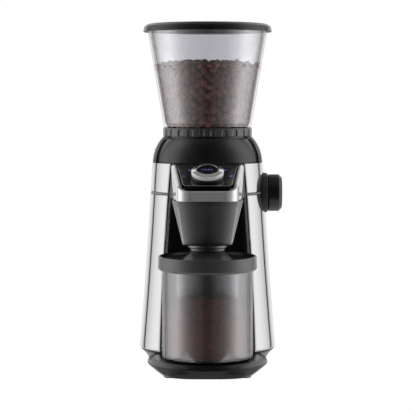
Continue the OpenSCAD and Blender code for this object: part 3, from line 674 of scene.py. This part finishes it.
def fascia_half(t):
    """Half of the fascia's plan, from the front middle to the back, moved in by t."""
    r = FASCIA_R - t
    arc = [(FASCIA_FLAT + r * math.cos(a), FASCIA_Y + FASCIA_R + r * math.sin(a))
           for a in steps(-math.pi / 2, math.radians(-12), 22)]
    end = (41 - t, -47.4)
    flat = [(x, FASCIA_Y + t) for x in steps(0, FASCIA_FLAT, 6)[:-1]]
    side = [between(arc[-1], end, k) for k in steps(0, 1, 10)[1:]]
    return flat + arc + side


def fascia_top(y):
    """Height of the fascia's top edge at y: along the panel at the sides, level at the front."""
    plane = min(panel_z(y) + 1.3, DOME_Z - 0.2)
    return min(plane, FASCIA_TOP) if y < FASCIA_Y + 6.5 else plane


def crown(r):
    """Insets and drops of a rounded edge of radius r, from the side face to the top."""
    return [(r * (1 - math.cos(a)), r * (1 - math.sin(a))) for a in steps(0, math.pi / 2, 8)]


def u_wall(name, half, thick, low, top, material, front_round, side_round):
    """A wall on the U-shaped plan from half(t), its outer top edge rounder along the sides."""
    def path(t):
        points = half(t)
        return [(-x, y) for x, y in reversed(points[1:])] + points
    base = path(0)
    grow = [min(1, max(0, (y - FASCIA_Y - 2) / 16)) for _, y in base]
    edges = [crown(front_round + (side_round - front_round) * g) for g in grow]
    lip = crown(1.0)
    loops = [[(x, y, low) for x, y in base]]
    for k in range(len(lip)):
        loops.append([(*path(edge[k][0])[i], top(base[i][1]) - edge[k][1]) for i, edge in enumerate(edges)])
    for t, drop in reversed(lip):
        loops.append([(x, y, top(base[i][1]) - drop) for i, (x, y) in enumerate(path(thick - t))])
    loops.append([(x, y, low) for x, y in path(thick)])
    verts = [p for loop in loops for p in loop]
    m, k = len(base), len(loops)
    faces = []
    for j in range(k):
        n = (j + 1) % k
        for i in range(m - 1):
            faces.append((j * m + i, j * m + i + 1, n * m + i + 1, n * m + i))
    faces.append(tuple(j * m for j in range(k)))
    faces.append(tuple(j * m + m - 1 for j in range(k)))
    return make(name, verts, faces, material, sharp=40)


fascia = u_wall("chrome_fascia", fascia_half, 5.0, FASCIA_Z, fascia_top, FASCIA, 1.6, 3.4)
for x in (-19.4, 19.4):
    fascia = cut(fascia, block((x - 0.4, -118, 180), (x + 0.4, -115.3, 210)), 40)
wear(fascia, "base", "chrome", "chrome_trim")

ON_PANEL = Matrix.Rotation(PANEL_TILT, 4, "X")


def panel_outline(t):
    """The control panel's outline, moved in by t, in the panel's own plane."""
    back, front, deep = PANEL_BACK - t, PANEL_FRONT - t, PANEL_DEEP - t
    corners = [(-back, -t * 0.6), (-front, -deep), (front, -deep), (back, -t * 0.6)]
    return rounded(corners, [0.3, 7 - t, 7 - t, 0.3], 10)


panel = prism("control_panel_plate", panel_outline(0), -2.5, 0, PIANO, PANEL_FAR, tilt=ON_PANEL)
lip = [(-PANEL_BACK, -0.5), (PANEL_BACK, -0.5), (PANEL_BACK, 1.3), (-PANEL_BACK, 1.3)]
lip = prism("tool", lip, -2.4, 1.0, PIANO, PANEL_FAR, tilt=ON_PANEL)
panel = cut(panel, lip, operation="UNION")
panel = cut(panel, drum(8.5, -8, 8, at=DIAL))
wear(bevel(panel, 0.5, 3, 40), "base", "gloss_black", "control_panel")

line_out, line_in = panel_outline(0.7), panel_outline(1.25)
loops = [[(x, y, h) for x, y in line] for line, h in (
    (line_out, -0.2), (line_out, 0.1), (line_in, 0.1), (line_in, -0.2), (line_out, -0.2))]
strip = skin("panel_outline_strip", loops, OUTLINE, caps=False, at=PANEL_FAR, tilt=ON_PANEL)
wear(strip, "base", "grey_plastic")

# A black strip behind the gap under the panel's back edge: a dark sheet standing in for the shade in that
# gap, and hiding the parts inside.
gap_shade_strip = block((-37, -57.4, 214), (37, -56.4, DOME_Z + 1.5), "panel_gap_shade_strip", BLACK)
wear(bevel(gap_shade_strip, 0.3, 2, 40), "base", "satin_black")

ON_DIAL = (DIAL, ON_PANEL)
# The outer side of the dial's ring is a separate band in the near-white finish: a painted highlight.
highlight_band_profile = rounded([(16.9, 4.4), (17.3, 4.4), (17.8, 5.0), (17.8, 7.8), (16.9, 8.9)],
                       [0.1, 0.3, 0.5, 0.8, 0.2])
turned("dial_edge_painted_highlight", highlight_band_profile, DIAL_BAND_PAINTED_HIGHLIGHT, ON_DIAL, "dial", "chrome")
ring_profile = rounded([(11.0, 4.4), (17.0, 4.4), (17.0, 8.7), (12.4, 10.6), (11.0, 10.2)],
                       [0.1, 0.1, 0.3, 0.6, 0.2])
turned("dial_chrome_ring", ring_profile, CHROME, ON_DIAL, "dial", "chrome", "dial_ring")
skirt_profile = rounded([(7.2, 0.4), (16.9, 0.4), (17.4, 0.8), (17.4, 1.9), (16.7, 2.2), (16.7, 2.6),
                         (17.2, 2.9), (17.2, 3.9), (16.5, 4.4), (7.2, 4.4)], 0.18, 3)
turned("dial_black_base", skirt_profile, PIANO, ON_DIAL, "dial", "gloss_black", "dial_skirt")
button_profile = [(0, 9.0)] + [(10.2 * k, 9.0 + 0.5 * k * k) for k in steps(0.1, 1, 10)] + [
    (10.5, 9.65), (10.7, 9.4), (10.7, 6.2), (10.5, 6.0), (3.1, 6.0), (3.1, -2), (0, -2)]
turned("start_button_cap", button_profile, PIANO, ON_DIAL, "start_button", "gloss_black", "start_button",
       segments=128)


def ribbon(points, width, lift):
    """Loops for a flat closed stroke along points, at a height above a face."""
    left, right = [], []
    for i, p in enumerate(points):
        a, b = Vector(points[max(i - 1, 0)]), Vector(points[min(i + 1, len(points) - 1)])
        side = Vector((-(b - a).y, (b - a).x)).normalized() * width / 2
        left.append(Vector(p) + side)
        right.append(Vector(p) - side)
    outline = left + right[::-1]
    return [[(q.x, q.y, h + lift) for q in outline] for h in (-0.05, 0.06)]


def circle(x, y, r, start=0, end=360, n=20):
    """Points along a circle or an arc, from start to end in degrees."""
    angles = [math.radians(a) for a in steps(start, end, n)]
    return [(x + r * math.cos(a), y + r * math.sin(a)) for a in angles]


def symbols(name, strokes, material, body, at, lift=0.0, width=0.32):
    """Small lit strokes on a face, joined to one piece."""
    loops = [ribbon(stroke, width, lift) for stroke in strokes]
    parts = [skin("stroke", pair, material, at=at, tilt=ON_PANEL) for pair in loops]
    return wear(join(name, parts), body, "gloss_black")


grind_symbol = [circle(-19.8, -11.0, 1.3), [(-19.8, -11.9), (-19.8, -10.1)]]
timer_symbol = [circle(-26.2, -25.6, 1.5, 120, 420),
                [(-26.2, -25.6), (-26.2, -23.6)], [(-23.6, -25.9), (-22.6, -25.9)]]
cup_symbol = [[(17.6, -9.9), (17.9, -11.8), (20.0, -11.8), (20.3, -9.9), (17.6, -9.9)],
              circle(20.7, -10.7, 0.55, -90, 90, 8)]
pot_symbol = [circle(25.6, -24.6, 1.25), [(23.4, -26.2), (27.8, -26.2)], [(26.9, -24.3), (28.3, -23.6)]]
symbols("panel_symbols_left", grind_symbol + timer_symbol, LAMP_BLUE, "base", PANEL_FAR)
symbols("panel_symbols_right", cup_symbol + pot_symbol, LAMP, "base", PANEL_FAR, width=0.42)
row = [circle(x, 1.2, 1.05, 20, 340, 14) for x in (-4.6, -1.6, 1.6, 4.6)]
symbols("button_symbol", row, LAMP, "start_button", DIAL, 9.14, 0.3)

# ---- Chute and spout ----


CHUTE_BOW = math.radians(38)


def chute_loop(w, v, f, r, z):
    """Plan of the chute: a bowed front w to each side, and flanks that widen to v at the back."""
    reach = w / math.sin(CHUTE_BOW)
    front = [(reach * math.sin(a), reach * (1 - math.cos(a)) - f) for a in steps(-CHUTE_BOW, CHUTE_BOW, 28)]
    facet = 0.6 + 0.8 * (v - w)
    x, y = w + facet, front[-1][1] + 1.3 * facet
    outline = front + [(x, y), (v, r - 5), (v - 5, r), (5 - v, r), (-v, r - 5), (-x, y)]
    ease = [7] + [0] * (len(front) - 2) + [7, 2, 2.5, 2.5, 2.5, 2.5, 2]
    return [(x, y + CANISTER_Y, z) for x, y in rounded(outline, ease, 4)]


chute_foot, chute_line = (26.2, 27.0, 26.0, 26.0, 143.5), (32.4, 37.6, 34.4, 33.0, 184.0)
outer = [(24.6, 25.2, 24.5, 24.5, 141.0), (25.6, 26.3, 25.5, 25.5, 141.7)]
outer += [between(chute_foot, chute_line, k) for k in steps(0, 1, 8)]
outer += [(32.6, 38.0, 34.7, 33.2, 185.2), (32.8, 38.6, 35.0, 33.6, 187.0), (32.9, 39.4, 35.2, 34.0, 190.1)]
inner = [(31.2, 37.4, 33.4, 32.1, 190.1), (30.4, 35.4, 32.4, 31.0, 182.0), (24.0, 24.4, 24.0, 24.0, 143.2)]
chute = skin("chute_cover_shell", [chute_loop(*s) for s in outer + inner], CHUTE)
chute = cut(chute, drum(21.7, 130, 150, at=AT_CANISTER), sharp=28)
# The narrow faces along the chute's front corners take the light grey: a painted highlight along those
# edges.
chute.data.materials.append(CHUTE_EDGE_PAINTED_HIGHLIGHT)
PAINTED_HIGHLIGHT_WIDTH, PAINTED_HIGHLIGHT_LOW, PAINTED_HIGHLIGHT_HIGH = 1.5, 143, 183
for face in chute.data.polygons:
    corners = [(chute.data.vertices[v].co - ORIGIN) / MM for v in face.vertices]
    width = max(math.hypot(p.x - q.x, p.y - q.y) for p in corners for q in corners)
    forward = max(p.y for p in corners) < CANISTER_Y and face.normal.y < 0
    if width < PAINTED_HIGHLIGHT_WIDTH and forward and PAINTED_HIGHLIGHT_LOW < corners[0].z < PAINTED_HIGHLIGHT_HIGH:
        face.material_index = 1
wear(chute, "base", "satin_black", "chute_cover")

spout_profile = rounded([(15, 134), (18.8, 134), (19.5, 134.7), (19.5, 137.2), (20.2, 137.5),
                         (21.6, 137.9), (21.6, 142.5), (20, 144), (28.5, 184), (26.5, 184), (15, 140)],
                        [0.3, 0.2, 0.4, 0.2, 0.3, 0.5, 0.2, 0.2, 0.2, 0.2, 0.5], 4)
turned("spout", spout_profile, CHUTE, (AT_CANISTER, None), "base", "satin_black", "spout_funnel",
       segments=160)

# ---- Base ----


def tray(name, *rows):
    """A solid on the body's plan at its foot, through rows of inset and height."""
    return skin(name, [[(x, y, z) for x, y, _ in loop_of(body_point, 17, t)] for t, z in rows], BASE)


def tongue(back, *rows):
    """A solid under the canister, through rows of half width, depth to the front, power and height."""
    angles = [2 * math.pi * i / PLAN_POINTS for i in range(PLAN_POINTS)]
    return skin("tool", [[(*plan_point(a, w, f, back, CANISTER_Y, n, 4), z) for a in angles]
                         for w, f, n, z in rows], BASE)


plinth = tray("base_tray_shell", (10, 4), (9.7, 4.2), (8.2, 6.6), (6.6, 9.1), (5.4, 10.4), (1.6, 14.3),
              (1.1, 14.9), (1, 15.3), (1, 16.9))
plinth = cut(plinth, tongue(
    55, (51.4, 62.4, 3.4, 2.0), (52, 63, 3.4, 2.5), (57, 64, 3.0, 5.4), (62.8, 65.2, 2.4, 8.6),
    (65.6, 65.6, 2.15, 10.2), (66.2, 66, 2.1, 10.9), (66.1, 65.9, 2.1, 11.7), (65.4, 65.2, 2.08, 12.3),
    (58.6, 58.6, 2.0, 14.6), (57.6, 57.6, 2.0, 14.9), (56.6, 56.6, 2, 15.0)), 30, "UNION")
plinth = cut(plinth, tray("tool", (13, 3), (9.6, 9.1), (5, 13.5)))
plinth = cut(plinth, tongue(62, (48, 59, 3.4, 1), (62, 62, 2.1, 10), (54, 54, 2, 12.5)))
plinth = cut(plinth, drum(56.8, 15, 20, at=AT_CANISTER, segments=160))
FEET = ((-40, -117), (40, -117), (-46, 36), (46, 36))
for x, y in FEET:
    plinth = cut(plinth, drum(7.8, -1, 3.5, at=(x, y, 0)), 30)
wear(plinth, "base", "satin_black", "base_tray")

foot_profile = rounded([(0, 0), (6.4, 0), (7.5, 1), (7.5, 3.5), (0, 3.5)], [0, 0.5, 0.5, 0.2, 0], 4)
feet = [lathe("foot", foot_profile, RUBBER, (x, y, 0), 64) for x, y in FEET]
feet = join("foot_pads", feet)
smooth(feet)
wear(feet, "base", "rubber", "rubber_feet")

# ---- Knob, bezel, vent and gland ----

ON_KNOB = (AT_KNOB, ALONG_X)
knob_profile = rounded([(3, 69.2), (20.2, 69.2), (21, 70.2), (21, 81.4), (17.6, 85), (15.4, 85),
                        (15.4, 83.6), (3, 83.6)], [0.1, 0.5, 0.6, 0.7, 0.7, 0.3, 0.1, 0.1])
turned("grind_knob_grip", knob_profile, KNOB, ON_KNOB, "grind_knob", "knob_black", "grind_knob")
face_profile = [(0, 84.7), (9.6, 84.5), (9.9, 84.3), (10.3, 84.3), (10.6, 84.5), (14.6, 84.25),
                (15.1, 84.0), (15.1, 83.6), (0, 83.6)]
turned("grind_knob_cap", face_profile, KNOB, ON_KNOB, "grind_knob", "knob_black", "knob_face")
bezel_profile = rounded([(4, 58), (23.4, 58), (23.3, 63.5), (22.2, 68.3), (21.7, 68.7), (4, 68.7)],
                        [0.1, 0.1, 3, 0.3, 0.2, 0.1])
turned("knob_bezel_ring", bezel_profile, BEZEL, ON_KNOB, "base", "satin_black", "knob_bezel")
mark = [(84.35, -0.55, 11.2), (84.35, 0.55, 11.2), (84.35, 0.55, 14.4), (84.35, -0.55, 14.4)]
loops = [[(84.1, y, z) for _, y, z in mark], [(x + 0.12, y, z) for x, y, z in mark]]
pointer = skin("knob_pointer", loops, OUTLINE, at=AT_KNOB)
wear(bevel(pointer, 0.05, 1), "grind_knob", "knob_black")

VENT_Y, SLOTS = span("rear_vent_panel", 1)[1], range(60, 111, 7)
plate = block((0.3 - VENT_X, VENT_Y - 3.4, VENT_LOW + 0.3), (VENT_X - 0.3, VENT_Y, VENT_HIGH - 0.3),
              "vent", BLACK)
for z in SLOTS:
    plate = cut(plate, block((-21, VENT_Y - 5, z), (21, VENT_Y + 2, z + 3)))
bevel(plate, 0.5, 2, 40)
slats = []
for z in SLOTS:
    tilted = [(VENT_Y - y, z + h) for y, h in ((3.3, -0.6), (2.6, -0.6), (0.4, 2.6), (1.1, 2.6))]
    slats.append(skin("slat", [[(x, y, h) for y, h in tilted] for x in (-21.5, 21.5)], BLACK))
vent = join("rear_vent_grille", [plate] + slats)
smooth(vent)
wear(vent, "base", "satin_black", "rear_vent_panel")

gland_profile = [(3.6, 58), (8, 58)]
for k in range(3):
    y = 60 + 3 * k
    gland_profile += [(8, y), (7.3, y + 0.3), (7.3, y + 1.2), (8, y + 1.5)]
gland_profile += [(8, 68.4), (6.9, 69.4), (6.5, 71), (4.2, 71), (3.6, 70.4)]
turned("cord_gland_sleeve", rounded(gland_profile, 0.25, 3), RUBBER, ((0, 0, INLET_Z), ALONG_Y), "base",
       "rubber", "cord_gland", segments=96)

# ---- Hopper, collar, lid and beans ----


def line_inside(piece, material, axis_y=0):
    """Gives the faces of a turned piece that look towards its axis a material of their own."""
    piece.data.materials.append(material)
    axis = place((0, axis_y, 0))
    for face in piece.data.polygons:
        if (face.center - axis).xy.dot(face.normal.xy) < 0:
            face.material_index = 1
    return piece


hopper_profile = rounded([(26.2, 242), (26.2, 250.4), (46.5, 268.7), (50, 268.7), (68.7, 382),
                          (66.8, 382), (48.6, 273), (24, 250.4), (24, 242)],
                         [0.3, 2, 1, 0.8, 0.6, 0.6, 2.5, 2.5, 0.3])
hopper = line_inside(lathe("hopper_cup", hopper_profile, HOPPER_CLEAR, segments=192), HOPPER_INSIDE)
wear(hopper, "hopper", "hopper_clear", "hopper")

lid_profile = rounded([(0, 385.5), (64, 385.5), (66.8, 385.1), (68.8, 384.3), (70.4, 383.3),
                       (71.6, 382.5), (72.3, 381.3), (73.2, 376.2), (69.8, 376.2), (69.8, 382.7),
                       (64.8, 382.7), (64.8, 381.6), (62.2, 381.6), (62.2, 383), (0, 383)],
                      [0, 3, 1.2, 1.2, 0.8, 0.6, 0.8, 0.3, 0.2, 0.2, 0.2, 0.2, 0.2, 0.3, 0])
turned("hopper_lid_cover", lid_profile, LID, UPRIGHT, "hopper_lid", "lid_black", "hopper_lid")
seal_profile = rounded([(62.5, 376.9), (64.4, 376.9), (65, 377.5), (65, 378.3), (64.3, 378.9),
                        (65, 379.5), (65, 380.3), (64.3, 380.9), (64.3, 381.9), (62.5, 381.9)], 0.2, 3)
turned("lid_plug_seal", seal_profile, SEAL, UPRIGHT, "hopper_lid", "rubber", "lid_seal")
liner_profile = rounded([(69.1, 377), (69.9, 376.6), (69.9, 382.6), (69.3, 382.6)], 0.1, 2)
turned("lid_rim_liner", liner_profile, SEAL, UPRIGHT, "hopper_lid", "rubber")


def collar():
    """The locking collar: a ring whose rim has arched finger flutes, open at the bottom."""
    low, top, radius, flutes, around = 258.4, 267.7, 50.6, 24, 24 * 26
    half, flank, deep, arch = 3.2, 0.9, 1.15, top - 4.3
    rows = [(36, low, 0), (radius - 0.3, low, 1)]
    rows += [(radius, z, 1) for z in steps(low + 0.3, top - 0.8, 24)]
    rows += [(radius - 0.25, top - 0.3, 0), (radius - 0.8, top, 0), (46.3, top, 0)]
    verts = []
    for r, z, flute in rows:
        for k in range(around):
            turn = (k / around * flutes) % 1 - 0.5
            across = turn * 2 * math.pi * radius / flutes
            inside = half - (abs(across) if z < arch else math.hypot(across, z - arch))
            dent = min(1, max(0, inside / flank)) * deep if flute else 0
            a = 2 * math.pi * k / around
            verts.append(((r - dent) * math.cos(a), (r - dent) * math.sin(a), z))
    faces = []
    for j in range(len(rows)):
        faces += band(j * around, (j + 1) % len(rows) * around, around)
    return make("hopper_collar_ring", verts, faces, COLLAR, sharp=50)


wear(collar(), "collar", "lid_grey", "locking_collar")


def bean_shape(length, width, thick):
    """Points and faces of a coffee bean: a half-flattened egg with a crease along its flat side."""
    rings, around = 9, 14
    points = [(-length / 2, 0, 0)]
    for i in range(1, rings):
        a = math.pi * i / rings
        for k in range(around):
            b = 2 * math.pi * k / around
            x, r = -math.cos(a) * length / 2, math.sin(a) ** 0.85
            y, z = r * math.cos(b) * width / 2, r * math.sin(b) * thick / 2
            if z > 0:
                z = z * 0.55 - 0.9 * r * math.exp(-(y / 0.55) ** 2)
            points.append((x, y, z))
    points.append((length / 2, 0, 0))
    last = len(points) - 1
    faces = [(0, 1 + (k + 1) % around, 1 + k) for k in range(around)]
    for i in range(rings - 2):
        faces += band(1 + i * around, 1 + (i + 1) * around, around)
    end = 1 + (rings - 2) * around
    faces += [(last, end + k, end + (k + 1) % around) for k in range(around)]
    return points, faces


def hopper_bore(z):
    """Inner radius of the hopper at height z."""
    return 48.6 + (z - 273) * 0.167 if z > 273 else 24 + (z - 250.4) * 1.084


def bean_top(x, y):
    """Height of the beans at a place: a mound with a few hollows."""
    r = math.hypot(x, y)
    return 346 - 4.7 * (r / 60) ** 2 + 1.6 * math.sin(x / 9 + 1) * math.cos(y / 8)


def beans():
    """Beans against the hopper's wall and in the mound's top layers, as one mesh."""
    rnd = random.Random(11)
    cell, apart, layer, tries, wall_tries = 6.4, 6.1, 13, 90000, 20000
    grid, spots = {}, []

    def free(p):
        near = itertools.product(*(range(int(v // cell) - 1, int(v // cell) + 2) for v in p))
        return all((p - q).length >= apart for key in near for q in grid.get(key, ()))

    for i in range(tries):
        z = rnd.uniform(258, 348)
        bore = hopper_bore(z) - 2.9
        a = rnd.uniform(0, 2 * math.pi)
        r = bore * (1 if i < wall_tries else math.sqrt(rnd.random()))
        p = Vector((r * math.cos(a), r * math.sin(a), z))
        deep = bean_top(p.x, p.y) - 3 - z
        if deep < 0 or (deep > layer and r < bore - layer) or not free(p):
            continue
        grid.setdefault(tuple(int(v // cell) for v in p), []).append(p)
        spots.append((p, a, bore - r, deep))
    verts, faces = [], []
    for p, a, inward, deep in spots:
        shape, sides = bean_shape(rnd.uniform(8.6, 10.4), rnd.uniform(6.4, 7.4), rnd.uniform(5.0, 5.8))
        spin = Matrix.Rotation(rnd.uniform(0, 2 * math.pi), 3, "Z")
        spin = spin @ Matrix.Rotation(rnd.choice((0, math.pi)) + rnd.gauss(0, 0.35), 3, "X")
        if inward < 5 and deep > 4:
            turn = Matrix.Rotation(a, 3, "Z") @ Matrix.Rotation(math.pi / 2, 3, "Y") @ spin
        elif deep < 6:
            turn = Matrix.Rotation(rnd.gauss(0, 0.5), 3, "Y") @ spin
        else:
            turn = Matrix.Rotation(rnd.uniform(0, 6), 3, "Y") @ spin
        start = len(verts)
        verts += [turn @ Vector(q) + p for q in shape]
        faces += [tuple(start + i for i in f) for f in sides]
    whole = make("roasted_beans", verts, faces, BEANS, sharp=70)
    for shade in (DARK_BEANS, LIGHT_BEANS):
        whole.data.materials.append(shade)
    shades = [rnd.choice((0, 0, 1, 1, 2)) for _ in spots]
    for face in whole.data.polygons:
        face.material_index = shades[face.index // len(sides)]
    return whole


wear(beans(), "hopper", "satin_black")
core = [(0, 262), (26, 262), (40, 276), (46, 300), (50, 325), (47, 331), (30, 334), (0, 336)]
wear(lathe("bean_bed", core, BEANS, segments=96, sharp=80), "hopper", "satin_black")

# ---- Canister, its lid and the ground coffee ----

cup_profile = rounded([(0, 15.3), (48.3, 15.3), (50.3, 17.3), (50.3, 121.2), (48.3, 121.2),
                       (48.3, 19.6), (46.3, 17.8), (0, 17.8)], [0, 1.5, 1.5, 0.6, 0.6, 1.4, 1.4, 0])
cup = lathe("canister_cup", cup_profile, CANISTER_CLEAR, AT_CANISTER, 192)
line_inside(cup, CANISTER_INSIDE, CANISTER_Y)
wear(cup, "canister", "canister_clear", "canister")
cup_lid_profile = rounded([(50.7, 112.7), (52.6, 112.7), (54.6, 115), (54.1, 127.8), (53.6, 128.3),
                           (52, 128.3), (50.6, 124.6), (28, 124.6), (18.6, 133.6), (16.5, 133.6),
                           (16.5, 132.4), (26.6, 122), (50.7, 122)],
                          [0.2, 0.6, 0.9, 0.4, 0.4, 0.5, 1, 1.2, 0.5, 0.3, 0.2, 1, 0.2])
turned("canister_lid_cover", cup_lid_profile, CUP_LID, (AT_CANISTER, None), "canister_lid", "lid_grey",
       "canister_lid")


def ground_heap():
    """Ground coffee in the canister: a mound with a crumbly top."""
    rnd = random.Random(5)
    waves = [(rnd.uniform(0.1, 0.9), rnd.uniform(0, 6.3), rnd.uniform(0, 6.3), rnd.uniform(0.15, 0.5))
             for _ in range(26)]
    rings, around, rim, low, top = 60, 168, 47.9, 18.2, 79.5
    verts, faces = [(0, 0, low), (0, 0, top)], []

    def height(x, y):
        r = math.hypot(x, y) / rim
        lumps = sum(h * math.sin(f * (x * math.cos(d) + y * math.sin(d)) + s) for f, d, s, h in waves)
        return top - 11 * r ** 1.6 - 7 * max(0, r - 0.66) / 0.34 + lumps * 0.9

    floor = len(verts)
    for r in (rim * 0.6, rim - 1.6, rim):
        z = low if r < rim else 20
        verts += ring(r, z, around)
    for j in range(rings, 0, -1):
        r = rim * j / rings
        for x, y, _ in ring(r, 0, around):
            verts.append((x, y, height(x, y) + rnd.uniform(-0.25, 0.25)))
    count = 3 + rings
    for j in range(count - 1):
        faces += band(floor + j * around, floor + (j + 1) * around, around)
    last = floor + (count - 1) * around
    for k in range(around):
        n = (k + 1) % around
        faces += [(0, floor + n, floor + k), (1, last + k, last + n)]
    return make("ground_coffee", verts, faces, GROUNDS, AT_CANISTER, sharp=80)


wear(ground_heap(), "canister", "satin_black")

# ---- Finishes of the CAD parts that stay ----

FINISHES = {
    BASE: ["base_cover"],
    MACHINED: ["base_screws", "dial_encoder", "gearbox_screws", "shaft_bearings", "idler_axle",
               "knob_shaft", "ring_burr", "burr_shaft", "cone_burr", "burr_bolt", "output_gear"],
    BLACK: ["hopper_seat", "impeller", "hopper_switch", "canister_switch", "chute_duct"],
    BOARD: ["panel_board", "power_board"],
    BRASS: ["knob_bushing", "adjuster_ring", "motor_pinion"],
    CAST: ["burr_housing", "gearbox_case", "gearbox_lid", "burr_carrier"],
    PAINTED: ["support_rods", "motor_can", "motor_end_cap"],
    SEAL: ["canister_seal"],
    NYLON: ["idler_gear"],
    COPPER: ["motor_rotor"],
}
for material, names in FINISHES.items():
    for name in names:
        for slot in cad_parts[name].material_slots:
            slot.material = material

# ---- Floor, light and camera ----

white = Nodes("floor_white")
floor_glow = white.add("ShaderNodeEmission", {"Color": (1, 1, 1, 1)})
floor = block((-125, -195, -2), (130, 110, -0.05), "floor", white.finish(floor_glow))

# The light is the world's. It is drawn as upright strips of white and grey, the same left and right,
# between a darker ceiling and a paler floor: degrees from the front, and brightness.
STRIPS = ((0.0, 0.05), (8.0, 0.06), (16.0, 0.12), (30.0, 0.17), (41.0, 0.27), (52.0, 0.45), (62.0, 0.75),
          (72.0, 1.2), (85.0, 1.8), (98.0, 1.75), (104.0, 1.65), (110.0, 1.55), (117.0, 1.37),
          (126.0, 1.12), (130.0, 0.95), (131.0, 0.08), (136.0, 0.08), (138.5, 0.7), (143.0, 1.0),
          (150.0, 1.2), (164.0, 1.15), (174.0, 0.5), (180.0, 0.15))
world = bpy.data.worlds.new("studio")
bpy.context.scene.world = world
light = Nodes("studio", world, "ShaderNodeOutputWorld")
way = light.add("ShaderNodeSeparateXYZ", {0: light.add("ShaderNodeTexCoord").outputs["Generated"]})
across = light.maths("ABSOLUTE", way.outputs["X"])
ahead = light.maths("MULTIPLY", way.outputs["Y"], -1.0)
strips = light.add("ShaderNodeValToRGB", {
    0: light.maths("DIVIDE", light.maths("ARCTAN2", across, ahead), math.pi)})
ramp = strips.color_ramp
while len(ramp.elements) < len(STRIPS):
    ramp.elements.new(0.5)
for stop, (degrees, value) in zip(ramp.elements, STRIPS):
    stop.position = degrees / 180
    stop.color = (*grey(value), 1)
colour = strips.outputs[0]
up = light.maths("ARCSINE", way.outputs["Z"])
for start, end, value in ((40, 62, 0.28), (-32, -42, 0.6)):
    share = light.add("ShaderNodeMapRange", {
        "Value": up, "From Min": math.radians(start), "From Max": math.radians(end)},
        interpolation_type="SMOOTHSTEP")
    colour = light.blend(share.outputs[0], colour, grey(value))
lit = light.add("ShaderNodeBackground", {"Color": colour})
plain = light.add("ShaderNodeBackground", {"Color": (1, 1, 1, 1)})
seen = light.add("ShaderNodeLightPath").outputs["Is Camera Ray"]
light.finish(light.add("ShaderNodeMixShader", {0: seen, 1: lit.outputs[0], 2: plain.outputs[0]}))

lens = bpy.data.cameras.new("camera")
lens.lens = 137.15
lens.sensor_width = 36
lens.clip_end = 20
camera = bpy.data.objects.new("camera", lens)
camera.location = place((0.55, -1815.0, 305.5))
camera.rotation_euler = (math.radians(90 - 4.104), 0, 0)
bpy.context.scene.collection.objects.link(camera)
bpy.context.scene.camera = camera
bpy.context.scene.view_settings.view_transform = "Standard"
